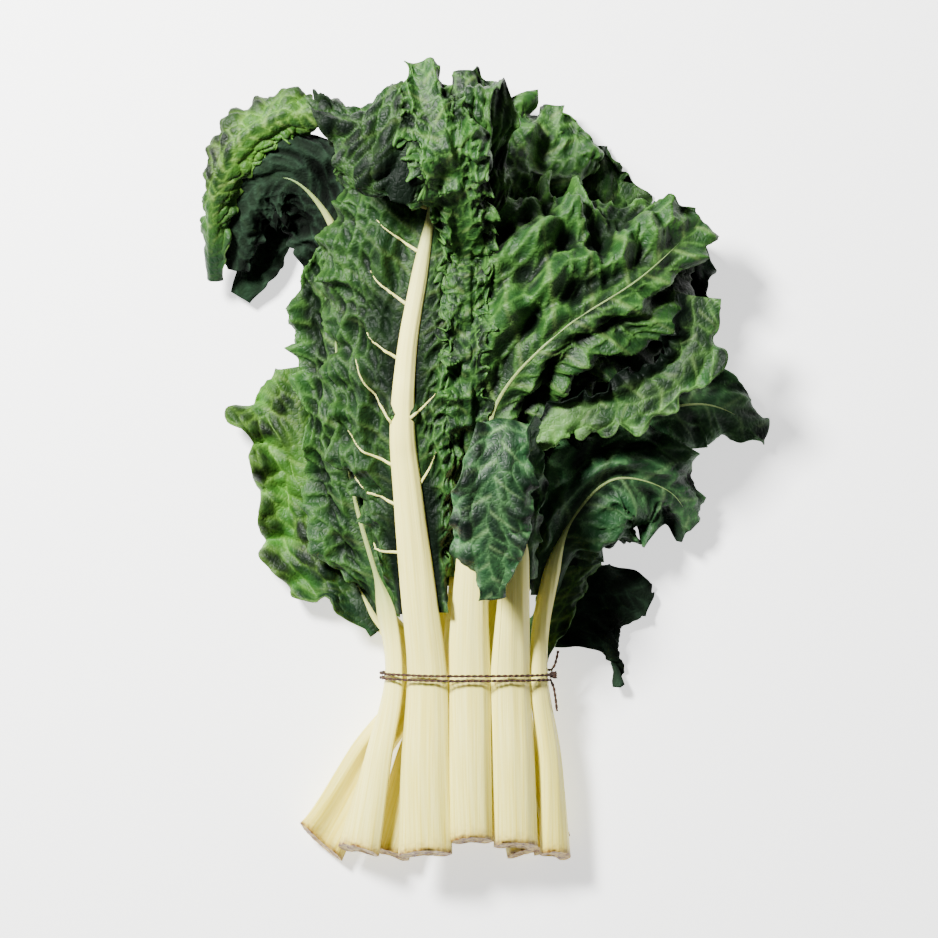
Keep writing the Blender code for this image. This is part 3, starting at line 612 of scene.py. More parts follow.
def roundMesh(name, lines, radius, roundness):
    # A round rod along each line of points; a point's fourth number is its share of the radius.
    curve = bpy.data.curves.new(name, "CURVE")
    curve.dimensions = "3D"
    curve.bevel_depth = radius
    curve.bevel_resolution = roundness
    curve.use_fill_caps = True
    for points in lines:
        line = curve.splines.new("POLY")
        line.points.add(len(points) - 1)
        for point, (x, y, z, share) in zip(line.points, points):
            point.co = (x, y, z, 1.0)
            point.radius = share
    made = bpy.data.objects.new(name, curve)
    bpy.context.collection.objects.link(made)
    bpy.ops.object.select_all(action="DESELECT")
    made.select_set(True)
    bpy.context.view_layer.objects.active = made
    bpy.ops.object.convert(target="MESH")
    bpy.ops.object.shade_smooth()
    return bpy.context.object


def layVeins(name, node, leaf, look, surface, sideways, rowsAt):
    # tapering side veins that follow a finished blade out from its rib
    course = makeCourse(leaf)
    lines = []
    for above, side, length, angle in look["veins"]:
        share = np.linspace(0.0, 1.0, look["points"])
        rise = math.radians(angle)
        at = course["tie"] + above + length * (math.sin(rise) * share + look["bow"] * share ** 2)
        ribHalf = stalkSize(leaf, course, at[:1])[0][0] / 2
        far = side * (ribHalf * 0.7 + length * math.cos(rise) * share)
        line = []
        for k in range(len(share)):
            row = min(len(rowsAt) - 2, int(np.searchsorted(rowsAt, at[k])) - 1)
            part = (at[k] - rowsAt[row]) / (rowsAt[row + 1] - rowsAt[row])
            ends = [[np.interp(far[k], sideways[r], surface[r, :, c]) for c in range(3)]
                    for r in (row, row + 1)]
            x, y, z = np.array(ends[0]) * (1 - part) + np.array(ends[1]) * part
            line.append((x, y, z + look["raise"], 1 - (1 - look["least"]) * share[k]))
        lines.append(line)
    made = roundMesh(name, lines, look["width"] / 2, 3)
    for key, value in (("share", 0.5), ("leafy", 0.3), ("cut", 0.0)):
        field = made.data.attributes.new(key, "FLOAT", "POINT")
        field.data.foreach_set("value", np.full(len(made.data.vertices), value, np.float32))
    belongs(made, node, "stalk")
    print(f"{name}: {len(look['veins'])} veins")


def shiftOf(name, leaf):
    # how far the finished bunch was moved, across and along, from where its courses are drawn
    course = makeCourse(leaf)
    distances, butt = stationsOf(leaf, course)
    rings = stalkRings(leaf, course, distances[:-1], bunch["section"])
    return np.array(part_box(f"{name}_stalk")[0][:2]) - rings.reshape(-1, 3).min(axis=0)[:2]


def linear(code):
    # an sRGB hex colour as the linear numbers a shader takes
    parts = [int(code[k:k + 2], 16) / 255 for k in (1, 3, 5)]
    return (*[c / 12.92 if c <= 0.04045 else ((c + 0.055) / 1.055) ** 2.4 for c in parts], 1.0)


def setInputs(tree, node, inputs):
    for key, value in inputs.items():
        if isinstance(value, bpy.types.NodeSocket):
            tree.links.new(value, node.inputs[key])
        else:
            node.inputs[key].default_value = value


def addNode(tree, kind, inputs, output=0, **settings):
    # adds a node with its settings and links, and gives one of its outputs
    node = tree.nodes.new("ShaderNode" + kind)
    for key, value in settings.items():
        setattr(node, key, value)
    setInputs(tree, node, inputs)
    return node.outputs[output]


def newFinish(name):
    finish = bpy.data.materials.new(name)
    finish.use_nodes = True
    return finish, finish.node_tree, finish.node_tree.nodes["Principled BSDF"]


def layered(tree, colour, layers):
    # a colour with others laid over it, each given by where it shows and its colour
    for share, over in layers:
        over = linear(over) if isinstance(over, str) else over
        inputs = {0: share, 6: colour, 7: over}
        colour = addNode(tree, "Mix", inputs, output=2, data_type="RGBA")
    return colour


def leafFinish(name, look):
    # Fresh savoyed chard leaf: waxy, so a soft gloss breaks up over the blisters. Painted shade
    # darkens the sunken cells and the hollows and wherever a leaf's own painted shade lies; a painted
    # highlight lightens the raised net, and the margins are paler. Patches are about 36 mm across,
    # the fine mottling about 4 mm, and the veinlets 2.5 mm apart.
    finish, tree, shader = newFinish(name)
    place = addNode(tree, "TexCoord", {}, "Object")
    net, vein, edge, height, share, paintedShade = [
        addNode(tree, "Attribute", {}, "Fac", attribute_name=key)
        for key in ("net", "vein", "edge", "height", "share", "paintedShade")]
    cloud = addNode(tree, "TexNoise", {"Vector": place, "Scale": 28.0, "Detail": 3.0}, "Fac")
    cloud = addNode(tree, "MapRange", {"Value": cloud, "From Min": 0.42, "From Max": 0.66})
    cloud = addNode(tree, "Math", {0: cloud, 1: 0.55}, operation="MULTIPLY")
    grain = addNode(tree, "TexNoise", {"Vector": place, "Scale": 260.0, "Detail": 4.0}, "Fac")
    # painted shade by height: the low parts of the crinkles keep the deep colour, the high ones get
    # the mid green
    paintedHeightShading = addNode(tree, "MapRange", {"Value": height, "From Min": 0.40, "From Max": 0.80})
    # painted highlight on the raised net of crests, broken up by the grain
    crest = addNode(tree, "Math", {0: net, 1: 2.2}, operation="POWER")
    crest = addNode(tree, "Math", {0: crest, 1: grain}, operation="MULTIPLY")
    veins = addNode(tree, "Math", {0: vein, 1: look["veins"]}, operation="MULTIPLY")
    foot = addNode(tree, "MapRange", {"Value": share, "From Min": 0.10, "From Max": 0.42,
                                      "To Min": look["foot"], "To Max": 0.0})
    rim = addNode(tree, "MapRange", {"Value": edge, "From Min": 0.90, "From Max": 1.0,
                                     "To Max": look["rim"]})
    # painted light: the end of the blade is lighter, as if lit (only the fringe's lobes use it)
    tip = addNode(tree, "MapRange", {"Value": share, "From Min": 0.68, "From Max": 0.86,
                                     "To Max": look["tip"]})
    # painted shade in the hollows: the lowest parts of the crinkles are darkened to the deep colour
    paintedHollowShade = addNode(tree, "MapRange", {"Value": height, "From Min": 0.22, "From Max": 0.52,
                                         "To Min": look["paintedHollowShade"], "To Max": 0.0})
    # where painted shade lies, from the hollows or from the leaf's own painted shade
    dark = addNode(tree, "Math", {0: paintedHollowShade, 1: paintedShade}, operation="MAXIMUM")
    colour = layered(tree, linear(look["deep"]), [
        (paintedHeightShading, look["mid"]), (cloud, look["patch"]), (crest, look["light"]),
        (veins, look["vein"]), (foot, look["base"]), (rim, look["light"]), (tip, look["light"]),
        (dark, look["deep"])])
    gloss = {0: dark, 1: -0.7 * look["gloss"], 2: look["gloss"]}   # less of it in the hollows
    gloss = addNode(tree, "Math", gloss, operation="MULTIPLY_ADD")
    veinlets = addNode(tree, "TexVoronoi", {"Vector": place, "Scale": 400.0}, "Distance",
                       feature="DISTANCE_TO_EDGE")
    low = addNode(tree, "MapRange", {"Value": veinlets, "From Max": 0.25})
    relief = addNode(tree, "Math", {0: grain, 1: 0.6, 2: low}, operation="MULTIPLY_ADD")
    bump = addNode(tree, "Bump", {"Height": relief, "Strength": 0.4, "Distance": 0.0004})
    setInputs(tree, shader, {"Base Color": colour, "Roughness": look["roughness"], "IOR": 1.40,
                             "Specular IOR Level": gloss, "Normal": bump})
    return finish


def stalkFinish():
    # Fresh cut chard stalk: crisp, wet and slightly translucent, ivory with yellow-green streaks
    # along its fibres, and browned where the air got at the cut, in spots of about 2.4 mm.
    look = {"ivory": "#F8F08E", "yellow": "#E6D44A", "green": "#A9B878", "leafGreen": "#4F7A44",
            "brown": "#6B3B14", "tan": "#B9822F", "roughness": 0.40}
    finish, tree, shader = newFinish("chardStalk")
    uv = addNode(tree, "UVMap", {}, "UV")
    place = addNode(tree, "TexCoord", {}, "Object")
    share, cut, tint, leafy = [addNode(tree, "Attribute", {}, "Fac", attribute_name=key)
                               for key in ("share", "cut", "tint", "leafy")]
    along = addNode(tree, "Mapping", {"Vector": uv, "Scale": (46.0, 22.0, 1.0)})
    fibres = addNode(tree, "TexNoise", {"Vector": along, "Scale": 1.0, "Detail": 5.0}, "Fac")
    streak = addNode(tree, "MapRange", {"Value": fibres, "From Min": 0.40, "From Max": 0.68})
    streak = addNode(tree, "Math", {0: tint, 1: 0.55, 2: streak}, operation="MULTIPLY_ADD")
    nearButt = addNode(tree, "MapRange", {"Value": share, "From Max": 0.55,
                                          "To Min": 0.85, "To Max": 0.10})
    yellowed = addNode(tree, "Math", {0: streak, 1: nearButt}, operation="MULTIPLY", use_clamp=True)
    tip = addNode(tree, "MapRange", {"Value": share, "From Min": 0.55, "From Max": 1.0,
                                     "To Max": 0.75})
    blot = addNode(tree, "TexNoise", {"Vector": place, "Scale": 420.0, "Detail": 4.0}, "Fac")
    blot = addNode(tree, "MapRange", {"Value": blot, "From Min": 0.35, "From Max": 0.65})
    browned = layered(tree, linear(look["tan"]), [(blot, look["brown"])])
    spotted = addNode(tree, "Math", {0: blot, 1: 0.5, 2: 0.55}, operation="MULTIPLY_ADD")
    spotted = addNode(tree, "Math", {0: cut, 1: spotted}, operation="MULTIPLY")
    colour = layered(tree, linear(look["ivory"]), [
        (yellowed, look["yellow"]), (tip, look["green"]), (leafy, look["leafGreen"]),
        (spotted, browned)])
    bump = addNode(tree, "Bump", {"Height": fibres, "Strength": 0.45, "Distance": 0.0006})
    setInputs(tree, shader, {
        "Base Color": colour, "Roughness": look["roughness"], "IOR": 1.42, "Normal": bump,
        "Subsurface Weight": 0.12, "Subsurface Radius": (1.0, 0.8, 0.35),
        "Subsurface Scale": 0.003})
    return finish


def twineFinish():
    # Waxed brown jute twine: matt, darker between its fibres, which lie about 1.1 mm apart.
    look = {"dark": "#1C0F08", "light": "#4A2B16", "roughness": 0.85}
    finish, tree, shader = newFinish("juteTwine")
    place = addNode(tree, "TexCoord", {}, "Object")
    fibres = addNode(tree, "TexNoise", {"Vector": place, "Scale": 900.0, "Detail": 4.0}, "Fac")
    lit = addNode(tree, "MapRange", {"Value": fibres, "From Min": 0.38, "From Max": 0.66})
    colour = layered(tree, linear(look["dark"]), [(lit, look["light"])])
    bump = addNode(tree, "Bump", {"Height": fibres, "Strength": 0.5, "Distance": 0.0003})
    setInputs(tree, shader, {"Base Color": colour, "Roughness": look["roughness"], "Normal": bump})
    return finish


# Leaf greens from the painted shade of the hollows up to the painted highlights, and how strongly
# each part shows.
leafLook = {"base": "#0F2A14", "veins": 0.25, "rim": 0.25, "foot": 0.3, "tip": 0.0, "paintedHollowShade": 0.9,
            "roughness": 0.54, "gloss": 0.32}
finishes = {
    "leafGreen": leafFinish("chardLeafGreen", {
        **leafLook, "deep": "#071008", "mid": "#12310F", "patch": "#1D4714", "light": "#5D903C",
        "vein": "#8FAB60", "veins": 0.20, "gloss": 0.34}),
    # a copy of the leaf greens darkened to painted shade, for leaves that lie in shade
    "leafDarkPaintedShade": leafFinish("chardLeafDarkPaintedShade", {
        **leafLook, "deep": "#030604", "mid": "#0B1F10", "patch": "#112B15", "light": "#284E2B",
        "vein": "#40603A", "veins": 0.20, "rim": 0.15, "roughness": 0.62, "gloss": 0.22}),
    "leafBlue": leafFinish("chardLeafBlueGreen", {
        **leafLook, "deep": "#050E08", "mid": "#173A1E", "patch": "#27542B", "light": "#5F8F55",
        "vein": "#82A56A", "veins": 0.30, "rim": 0.15, "roughness": 0.52, "gloss": 0.34}),
    "leafBright": leafFinish("chardLeafBright", {
        **leafLook, "deep": "#050E05", "mid": "#2A5A18", "patch": "#44791F", "light": "#75A23E",
        "vein": "#98B85E", "foot": 0.9, "paintedHollowShade": 0.35}),
    # its blades get lighter towards their end by painted light
    "leafFringe": leafFinish("chardLeafFringe", {
        **leafLook, "deep": "#040B05", "mid": "#20491D", "patch": "#316627", "light": "#75A852",
        "vein": "#98B870", "foot": 0.0, "tip": 0.30, "paintedHollowShade": 0.7}),
    # near-black painted shade, for leaves and sheets that lie in deep shade
    "leafShade": leafFinish("chardLeafShade", {
        **leafLook, "deep": "#070A07", "mid": "#121D13", "patch": "#182718", "light": "#2B4230",
        "vein": "#2D452B", "veins": 0.15, "rim": 0.0, "roughness": 0.80, "gloss": 0.10}),
    "stalk": stalkFinish(),
    "twine": twineFinish(),
}
print("finishes made")

# Two broad leaves lie at the bottom, faces up, darkened by painted shade.
backLeft = {
    **usual,
    "spine": [(-0.02, -0.087, 0.006), (-0.0088, 0, 0.007), (-0.028, 0.057, 0.007),
              (-0.043, 0.127, 0.007), (-0.053, 0.197, 0.006), (-0.048, 0.257, 0.006)],
    "butt": 0.021, "tie": 0.016, "side": -1, "roll": (0, -5), "start": 0.04, "rows": 13,
    "reach": [(0, 0.01, 0.01), (0.25, 0.034, 0.036), (0.6, 0.036, 0.045), (1, 0.014, 0.014)],
    "bend": [(0, -24, -50, -24, -50), (1, -26, -52, -26, -52)],
    "finish": "leafDarkPaintedShade", "slot": "leaf_dark", "seed": 1, "step": 0.0017,
    "cell": 0.01, "blister": 0.0016, "fold": 0.002, "pillow": 0.0012, "lateral": 0.022,
    "ruffle": 0.004, "ruffleLength": 0.03, "lobe": 0.1, "lobeLength": 0.022, "round": 0.75,
    "ribFade": (0.05, 0.09, 0.45), "pleat": 0.001, "pleatWidth": 0.026,
}
shift = shiftOf("back_left", backLeft)
growLeaf("back_left", backLeft)

backRight = {
    **usual,
    "spine": [(0.012, -0.085, 0.0058), (0.0088, 0, 0.007), (0.022, 0.057, 0.007),
              (0.047, 0.127, 0.007), (0.068, 0.197, 0.007), (0.066, 0.27, 0.006)],
    "butt": 0.021, "tie": 0.016, "side": -1, "roll": (0, 5), "start": 0.04, "rows": 13,
    "reach": [(0, 0.01, 0.01), (0.25, 0.036, 0.04), (0.65, 0.046, 0.054), (0.88, 0.036, 0.036),
              (1, 0.024, 0.014)],
    "bend": [(0, -24, -50, -24, -50), (1, -26, -52, -26, -52)],
    "finish": "leafGreen", "slot": "leaf_dark", "seed": 2, "step": 0.0017,
    "cell": 0.01, "blister": 0.0016, "fold": 0.002, "pillow": 0.0012, "lateral": 0.022,
    "ruffle": 0.005, "ruffleLength": 0.028, "lobe": 0.12, "lobeLength": 0.02, "round": 0.75,
    "ribFade": (0.05, 0.09, 0.45), "pleat": 0.001, "pleatWidth": 0.026, "paintedShade": (0.2, 0.2, 0.3),
}
growLeaf("back_right", backRight)

# A small torn leaf, almost black with painted shade, shows at the lower right.
lowerRight = {
    **usual,
    "spine": [(0.044, -0.089, 0.008), (0.0258, 0, 0.012), (0.042, 0.024, 0.012),
              (0.06, 0.039, 0.011), (0.078, 0.043, 0.009), (0.094, 0.035, 0.006)],
    "butt": 0.019, "tie": 0.014, "side": -1, "roll": (15, 28), "slant": 0.25, "start": 0.024,
    "rows": 8,
    "reach": [(0, 0.009, 0.012), (0.3, 0.014, 0.034), (0.6, 0.013, 0.045), (1, 0.006, 0.008)],
    "bend": [(0, -5, -10, -10, -25), (1, -5, -10, -5, -20)],
    "finish": "leafShade", "slot": "leaf_dark", "seed": 3, "step": 0.0011,
    "cell": 0.009, "blister": 0.0014, "fold": 0.002, "lateral": 0.018,
    "ruffle": 0.005, "ruffleLength": 0.02, "lobe": 0.22, "lobeLength": 0.013, "round": 0.8,
    "ribFade": (0.015, 0.035, 0.3), "pleat": 0.001, "pleatWidth": 0.02,
}
growLeaf("lower_right", lowerRight)

# A light yellow-green leaf with lobed margins sticks out at the lower left.
leftLow = {
    **usual,
    "spine": [(-0.075, -0.087, 0.01), (-0.052, -0.043, 0.012), (-0.0262, 0, 0.012),
              (-0.046, 0.032, 0.015), (-0.07, 0.072, 0.015), (-0.083, 0.112, 0.014),
              (-0.09, 0.156, 0.012)],
    "butt": 0.024, "tie": 0.016, "side": -1, "roll": (-12, -26), "slant": -0.3, "start": 0.03,
    "rows": 11,
    "reach": [(0, 0.01, 0.01), (0.3, 0.034, 0.03), (0.55, 0.037, 0.032), (0.8, 0.03, 0.03),
              (1, 0.012, 0.012)],
    "outline": [(0, 0.01, 0.01), (0.25, 0.03, 0.03), (0.55, 0.031, 0.032), (0.85, 0.03, 0.034),
                (1, 0.02, 0.02)],
    "bend": [(0, -5, -12, -5, -8), (1, 0, -6, -5, -8)],
    "finish": "leafBright", "slot": "leaf_bright", "seed": 4, "step": 0.0011,
    "cell": 0.008, "blister": 0.0022, "fold": 0.003, "lateral": 0.022,
    "ruffle": 0.005, "ruffleLength": 0.026, "lobe": 0.34, "lobeLength": 0.021, "round": 0.8,
    "ribFade": (0.035, 0.06, 0.3), "pleat": 0.002, "pleatWidth": 0.022, "paintedShade": (0, 0.25, 0.6),
}
growLeaf("left_low", leftLow)

# The hollow under the leaf that arches over at the upper left, a sheet coloured in near-black painted
# shade.
hollow = {
    "spine": [(-0.116, 0.192, 0.008), (-0.103, 0.214, 0.01), (-0.091, 0.239, 0.012),
              (-0.083, 0.264, 0.012)],
    "reach": [(0, 0.006, 0.006), (0.3, 0.014, 0.008), (0.7, 0.022, 0.012), (1, 0.016, 0.012)],
    "bend": [(0, 0, -10, 0, -10), (1, 0, -10, 0, -10)],
    "finish": "leafShade", "slot": "leaf_bright", "seed": 17, "step": 0.0011,
    "cell": 0.007, "blister": 0.0014, "fold": 0.002, "lateral": 0.02,
    "ruffle": 0.002, "ruffleLength": 0.018, "lobe": 0.12, "lobeLength": 0.012, "round": 0.85,
    "pleat": 0.001, "pleatWidth": 0.012,
}
layFold("hoodHollow", "arching_left_blade", hollow)
# A leaf arches over at the upper left, so its end hangs like a hood; it is coloured in painted shade.
archingLeft = {
    **usual,
    "spine": [(-0.04, -0.092, 0.014), (-0.026, -0.043, 0.018), (-0.012, 0, 0.02),
              (-0.024, 0.057, 0.024), (-0.04, 0.127, 0.027), (-0.056, 0.192, 0.031),
              (-0.072, 0.234, 0.04), (-0.09, 0.25, 0.046), (-0.108, 0.246, 0.042),
              (-0.117, 0.227, 0.032), (-0.117, 0.205, 0.02)],
    "butt": 0.022, "tie": 0.018, "start": 0.045, "rows": 17,
    "reach": [(0, 0.009, 0.009), (0.3, 0.03, 0.026), (0.6, 0.024, 0.024), (0.85, 0.02, 0.024),
              (1, 0.01, 0.01)],
    "outline": [(0, 0.009, 0.009), (0.3, 0.03, 0.026), (0.6, 0.024, 0.026), (0.69, 0.024, 0.03),
                (0.77, 0.026, 0.028), (0.84, 0.026, 0.02), (0.91, 0.02, 0.013), (1, 0.012, 0.008)],
    "bend": [(0, -5, -15, -5, -15), (0.55, -8, -25, 5, -15), (0.8, -10, -35, 35, -50),
             (1, -10, -30, 30, -45)],
    "finish": "leafShade", "slot": "leaf_bright", "seed": 5, "step": 0.0011,
    "cell": 0.0065, "blister": 0.002, "fold": 0.002, "lateral": 0.02,
    "ruffle": 0.004, "ruffleLength": 0.018, "lobe": 0.12, "lobeLength": 0.014, "round": 0.85,
    "ribFade": (0.205, 0.288, 0.05), "pleat": 0.0015, "pleatWidth": 0.02,
}
growLeaf("arching_left", archingLeft)

# The hooded leaf's bright margin, which rolls over its top and down the left.
hoodRim = {
    "spine": [(-0.129, 0.2, 0.018), (-0.1285, 0.216, 0.03), (-0.127, 0.236, 0.044),
              (-0.1195, 0.256, 0.052), (-0.107, 0.27, 0.057), (-0.091, 0.278, 0.059),
              (-0.072, 0.279, 0.058)],
    "side": -1,
    "reach": [(0, 0.004, 0.004), (0.2, 0.01, 0.009), (0.4, 0.015, 0.014), (0.7, 0.018, 0.017),
              (1, 0.016, 0.017)],
    "bend": [(0, -25, -90, -10, -40), (0.5, -30, -110, -15, -60), (1, -30, -95, -15, -60)],
    "finish": "leafBright", "slot": "leaf_bright", "seed": 18, "step": 0.0008,
    "cell": 0.006, "blister": 0.0024, "fold": 0.0024, "lateral": 0.016,
    "ruffle": 0.002, "ruffleLength": 0.014, "lobe": 0.15, "lobeLength": 0.012, "round": 0.9,
    "pleat": 0.001, "pleatWidth": 0.012,
}
layFold("hoodRim", "arching_left_blade", hoodRim)

# A leaf whose pointed tip shows at the far right.
rightPoint = {
    **usual,
    "spine": [(0.031, -0.091, 0.014), (0.02, -0.043, 0.018), (0.008, 0, 0.02),
              (0.022, 0.047, 0.026), (0.047, 0.092, 0.031), (0.082, 0.127, 0.034),
              (0.12, 0.137, 0.026), (0.154, 0.123, 0.01)],
    "butt": 0.022, "tie": 0.018, "start": 0.045, "rows": 13,
    "reach": [(0, 0.009, 0.009), (0.35, 0.036, 0.03), (0.7, 0.03, 0.026), (0.88, 0.018, 0.014),
              (1, 0.0035, 0.0035)],
    "bend": [(0, -5, -25, -5, -30), (1, -10, -35, -10, -35)],
    "finish": "leafBlue", "slot": "leaf_dark", "seed": 6, "step": 0.0011,
    "cell": 0.01, "blister": 0.0014, "fold": 0.002, "lateral": 0.02,
    "ruffle": 0.003, "ruffleLength": 0.026, "lobe": 0.06, "lobeLength": 0.02, "round": 0.96,
    "ribFade": (0.07, 0.1, 0.28), "pleat": 0.0015, "pleatWidth": 0.022, "paintedShade": (0, 0.15, 0.1),
}
growLeaf("right_point", rightPoint)

# A narrow wing of leaf runs down beside the rightmost stalk.
wing = {
    "spine": [(0.036, 0.006, 0.02), (0.04, 0.022, 0.021), (0.047, 0.042, 0.022),
              (0.056, 0.066, 0.024)],
    "reach": [(0, 0.005, 0.004), (0.4, 0.01, 0.01), (1, 0.012, 0.016)],
    "bend": [(0, 0, -10, 0, -30), (1, 0, -10, 0, -30)],
    "finish": "leafGreen", "slot": "leaf_blue", "seed": 19, "step": 0.0009,
    "cell": 0.006, "blister": 0.0016, "fold": 0.002, "lateral": 0.014,
    "ruffle": 0.002, "ruffleLength": 0.014, "lobe": 0.12, "lobeLength": 0.012, "round": 0.85,
    "pleat": 0.001, "pleatWidth": 0.012, "paintedShade": (0.3, 0.2, 0.1),
}
layFold("stalkWing", "right_low_blade", wing)

# A bluish leaf lies under the big one at the lower right.
rightLow = {
    **usual,
    "spine": [(0.046, -0.092, 0.02), (0.043, -0.043, 0.023), (0.0366, 0, 0.0265),
              (0.04, 0.037, 0.029), (0.052, 0.077, 0.034), (0.074, 0.099, 0.036),
              (0.102, 0.093, 0.028), (0.116, 0.075, 0.016)],
    "butt": 0.018, "tie": 0.014, "roll": (-40, -80), "start": 0.04, "rows": 12,
    "reach": [(0, 0.009, 0.009), (0.35, 0.03, 0.03), (0.65, 0.03, 0.042), (1, 0.012, 0.016)],
    "bend": [(0, 0, -15, -8, -35), (0.6, 0, -20, -15, -55), (1, -5, -25, -20, -55)],
    "finish": "leafBlue", "slot": "leaf_blue", "seed": 7, "step": 0.0011,
    "cell": 0.0085, "blister": 0.0022, "fold": 0.004, "lateral": 0.022,
    "ruffle": 0.005, "ruffleLength": 0.024, "lobe": 0.16, "lobeLength": 0.014, "round": 0.85,
    "ribFade": (0.05, 0.08, 0.25), "pleat": 0.003, "pleatWidth": 0.022, "paintedShade": (0.1, 0.5, 0.35),
}
growLeaf("right_low", rightLow)

# A leaf stands on edge at the left, under the front one.
leftMid = {
    **usual,
    "spine": [(-0.056, -0.089, 0.021), (-0.046, -0.043, 0.024), (-0.037, 0, 0.0262),
              (-0.043, 0.039, 0.032), (-0.056, 0.087, 0.036), (-0.064, 0.137, 0.04),
              (-0.066, 0.187, 0.042), (-0.064, 0.222, 0.04)],
    "butt": 0.024, "tie": 0.0155, "roll": (30, 80), "slant": -0.15, "start": 0.03, "rows": 14,
    "reach": [(0, 0.009, 0.009), (0.2, 0.026, 0.022), (0.4, 0.026, 0.03), (0.55, 0.018, 0.03),
              (0.8, 0.026, 0.03), (1, 0.012, 0.012)],
    "bend": [(0, -10, -40, 0, -12), (0.6, -15, -50, 0, -15), (1, -15, -45, -5, -20)],
    "finish": "leafGreen", "slot": "leaf_green", "seed": 8, "step": 0.001,
    "cell": 0.007, "blister": 0.0024, "fold": 0.0045, "lateral": 0.02,
    "ruffle": 0.003, "ruffleLength": 0.022, "lobe": 0.16, "lobeLength": 0.016, "round": 0.85,
    "ribFade": (0.03, 0.055, 0.25), "pleat": 0.002, "pleatWidth": 0.02, "paintedShade": (0.1, 0, 0.3),
}
growLeaf("left_mid", leftMid)

# The tallest leaf, whose frilled tip is the top of the bunch.
crown = {
    **usual,
    "spine": [(-0.004, -0.083, 0.026), (-0.002, 0, 0.03), (0, 0.063, 0.038), (0, 0.127, 0.044),
              (0, 0.197, 0.047), (0, 0.257, 0.044), (-0.001, 0.306, 0.032)],
    "butt": 0.02, "tie": 0.018, "start": 0.045, "rows": 14,
    "reach": [(0, 0.009, 0.009), (0.35, 0.04, 0.04), (0.8, 0.046, 0.044), (1, 0.03, 0.034)],
    "outline": [(0, 0.009, 0.009), (0.35, 0.042, 0.044), (0.6, 0.046, 0.06), (0.85, 0.044, 0.058),
                (1, 0.034, 0.046)],
    "bend": [(0, -5, -25, -5, -25), (0.6, -8, -50, -8, -50), (1, -12, -55, -12, -55)],
    "finish": "leafGreen", "slot": "leaf_green", "seed": 9, "step": 0.001,
    "cell": 0.0062, "blister": 0.0026, "fold": 0.004, "lateral": 0.022,
    "ruffle": 0.009, "ruffleLength": 0.019, "lobe": 0.16, "lobeLength": 0.014, "round": 0.8,
    "ribFade": (0.08, 0.12, 0.3), "pleat": 0.003, "pleatWidth": 0.018, "plump": 1.2,
}
growLeaf("crown", crown)

# The crown's right shoulder, and a leaf edge behind the big leaf, dark with painted shade.
shoulder = {
    "spine": [(0.018, 0.2, 0.02), (0.03, 0.235, 0.02), (0.04, 0.265, 0.018), (0.044, 0.29, 0.014)],
    "reach": [(0, 0.02, 0.02), (0.4, 0.026, 0.03), (0.8, 0.024, 0.028), (1, 0.018, 0.018)],
    "bend": [(0, 0, -20, 0, -20), (1, 0, -25, 0, -25)],
    "finish": "leafGreen", "slot": "leaf_green", "seed": 13, "step": 0.001,
    "cell": 0.0062, "blister": 0.0024, "fold": 0.004, "lateral": 0.02,
    "ruffle": 0.006, "ruffleLength": 0.018, "lobe": 0.14, "lobeLength": 0.013, "round": 0.7,
    "pleat": 0.003, "pleatWidth": 0.018,
}
layFold("crownShoulder", "crown_blade", shoulder)
rightEdge = {
    "spine": [(0.088, 0.232, 0.02), (0.104, 0.218, 0.02), (0.112, 0.195, 0.018),
              (0.112, 0.168, 0.016)],
    "reach": [(0, 0.018, 0.012), (0.4, 0.016, 0.014), (1, 0.014, 0.012)],
    "bend": [(0, 0, -20, 0, -20), (1, 0, -25, 0, -25)],
    "finish": "leafDarkPaintedShade", "slot": "leaf_dark", "seed": 14, "step": 0.0011,
    "cell": 0.007, "blister": 0.002, "fold": 0.003, "lateral": 0.02,
    "ruffle": 0.005, "ruffleLength": 0.018, "lobe": 0.2, "lobeLength": 0.012, "round": 0.75,
    "pleat": 0.002, "pleatWidth": 0.018,
}
layFold("rightEdge", "back_right_blade", rightEdge)

# The big blistered leaf that covers the upper right.
rightBig = {
    **usual,
    "spine": [(0.0025, -0.083, 0.038), (0.0015, -0.043, 0.0405), (0.001, 0, 0.041),
              (0.002, 0.047, 0.047), (0.006, 0.097, 0.054), (0.016, 0.139, 0.062),
              (0.046, 0.172, 0.07), (0.086, 0.199, 0.065), (0.118, 0.229, 0.044)],
    "butt": 0.0205, "tie": 0.0214, "start": 0.05, "rows": 15,
    "reach": [(0, 0.009, 0.009), (0.25, 0.03, 0.034), (0.5, 0.064, 0.06), (0.75, 0.07, 0.07),
              (1, 0.03, 0.032)],
    "outline": [(0, 0.009, 0.009), (0.25, 0.032, 0.034), (0.5, 0.076, 0.06), (0.75, 0.078, 0.07),
                (1, 0.04, 0.04)],
    "bend": [(0, -5, -15, -10, -30), (0.5, -8, -42, -25, -62), (1, -12, -50, -20, -60)],
    "finish": "leafGreen", "slot": "leaf_green", "seed": 10, "step": 0.001,
    "cell": 0.008, "blister": 0.0026, "fold": 0.0045, "pillow": 0.0025, "lateral": 0.022,
    "ruffle": 0.007, "ruffleLength": 0.024, "lobe": 0.1, "lobeLength": 0.018, "round": 0.7,
    "ribFade": (0.1, 0.14, 0.22), "pleat": 0.0045, "pleatWidth": 0.024, "paintedShade": (0, 0.85, 0),
}
growLeaf("right_big", rightBig)

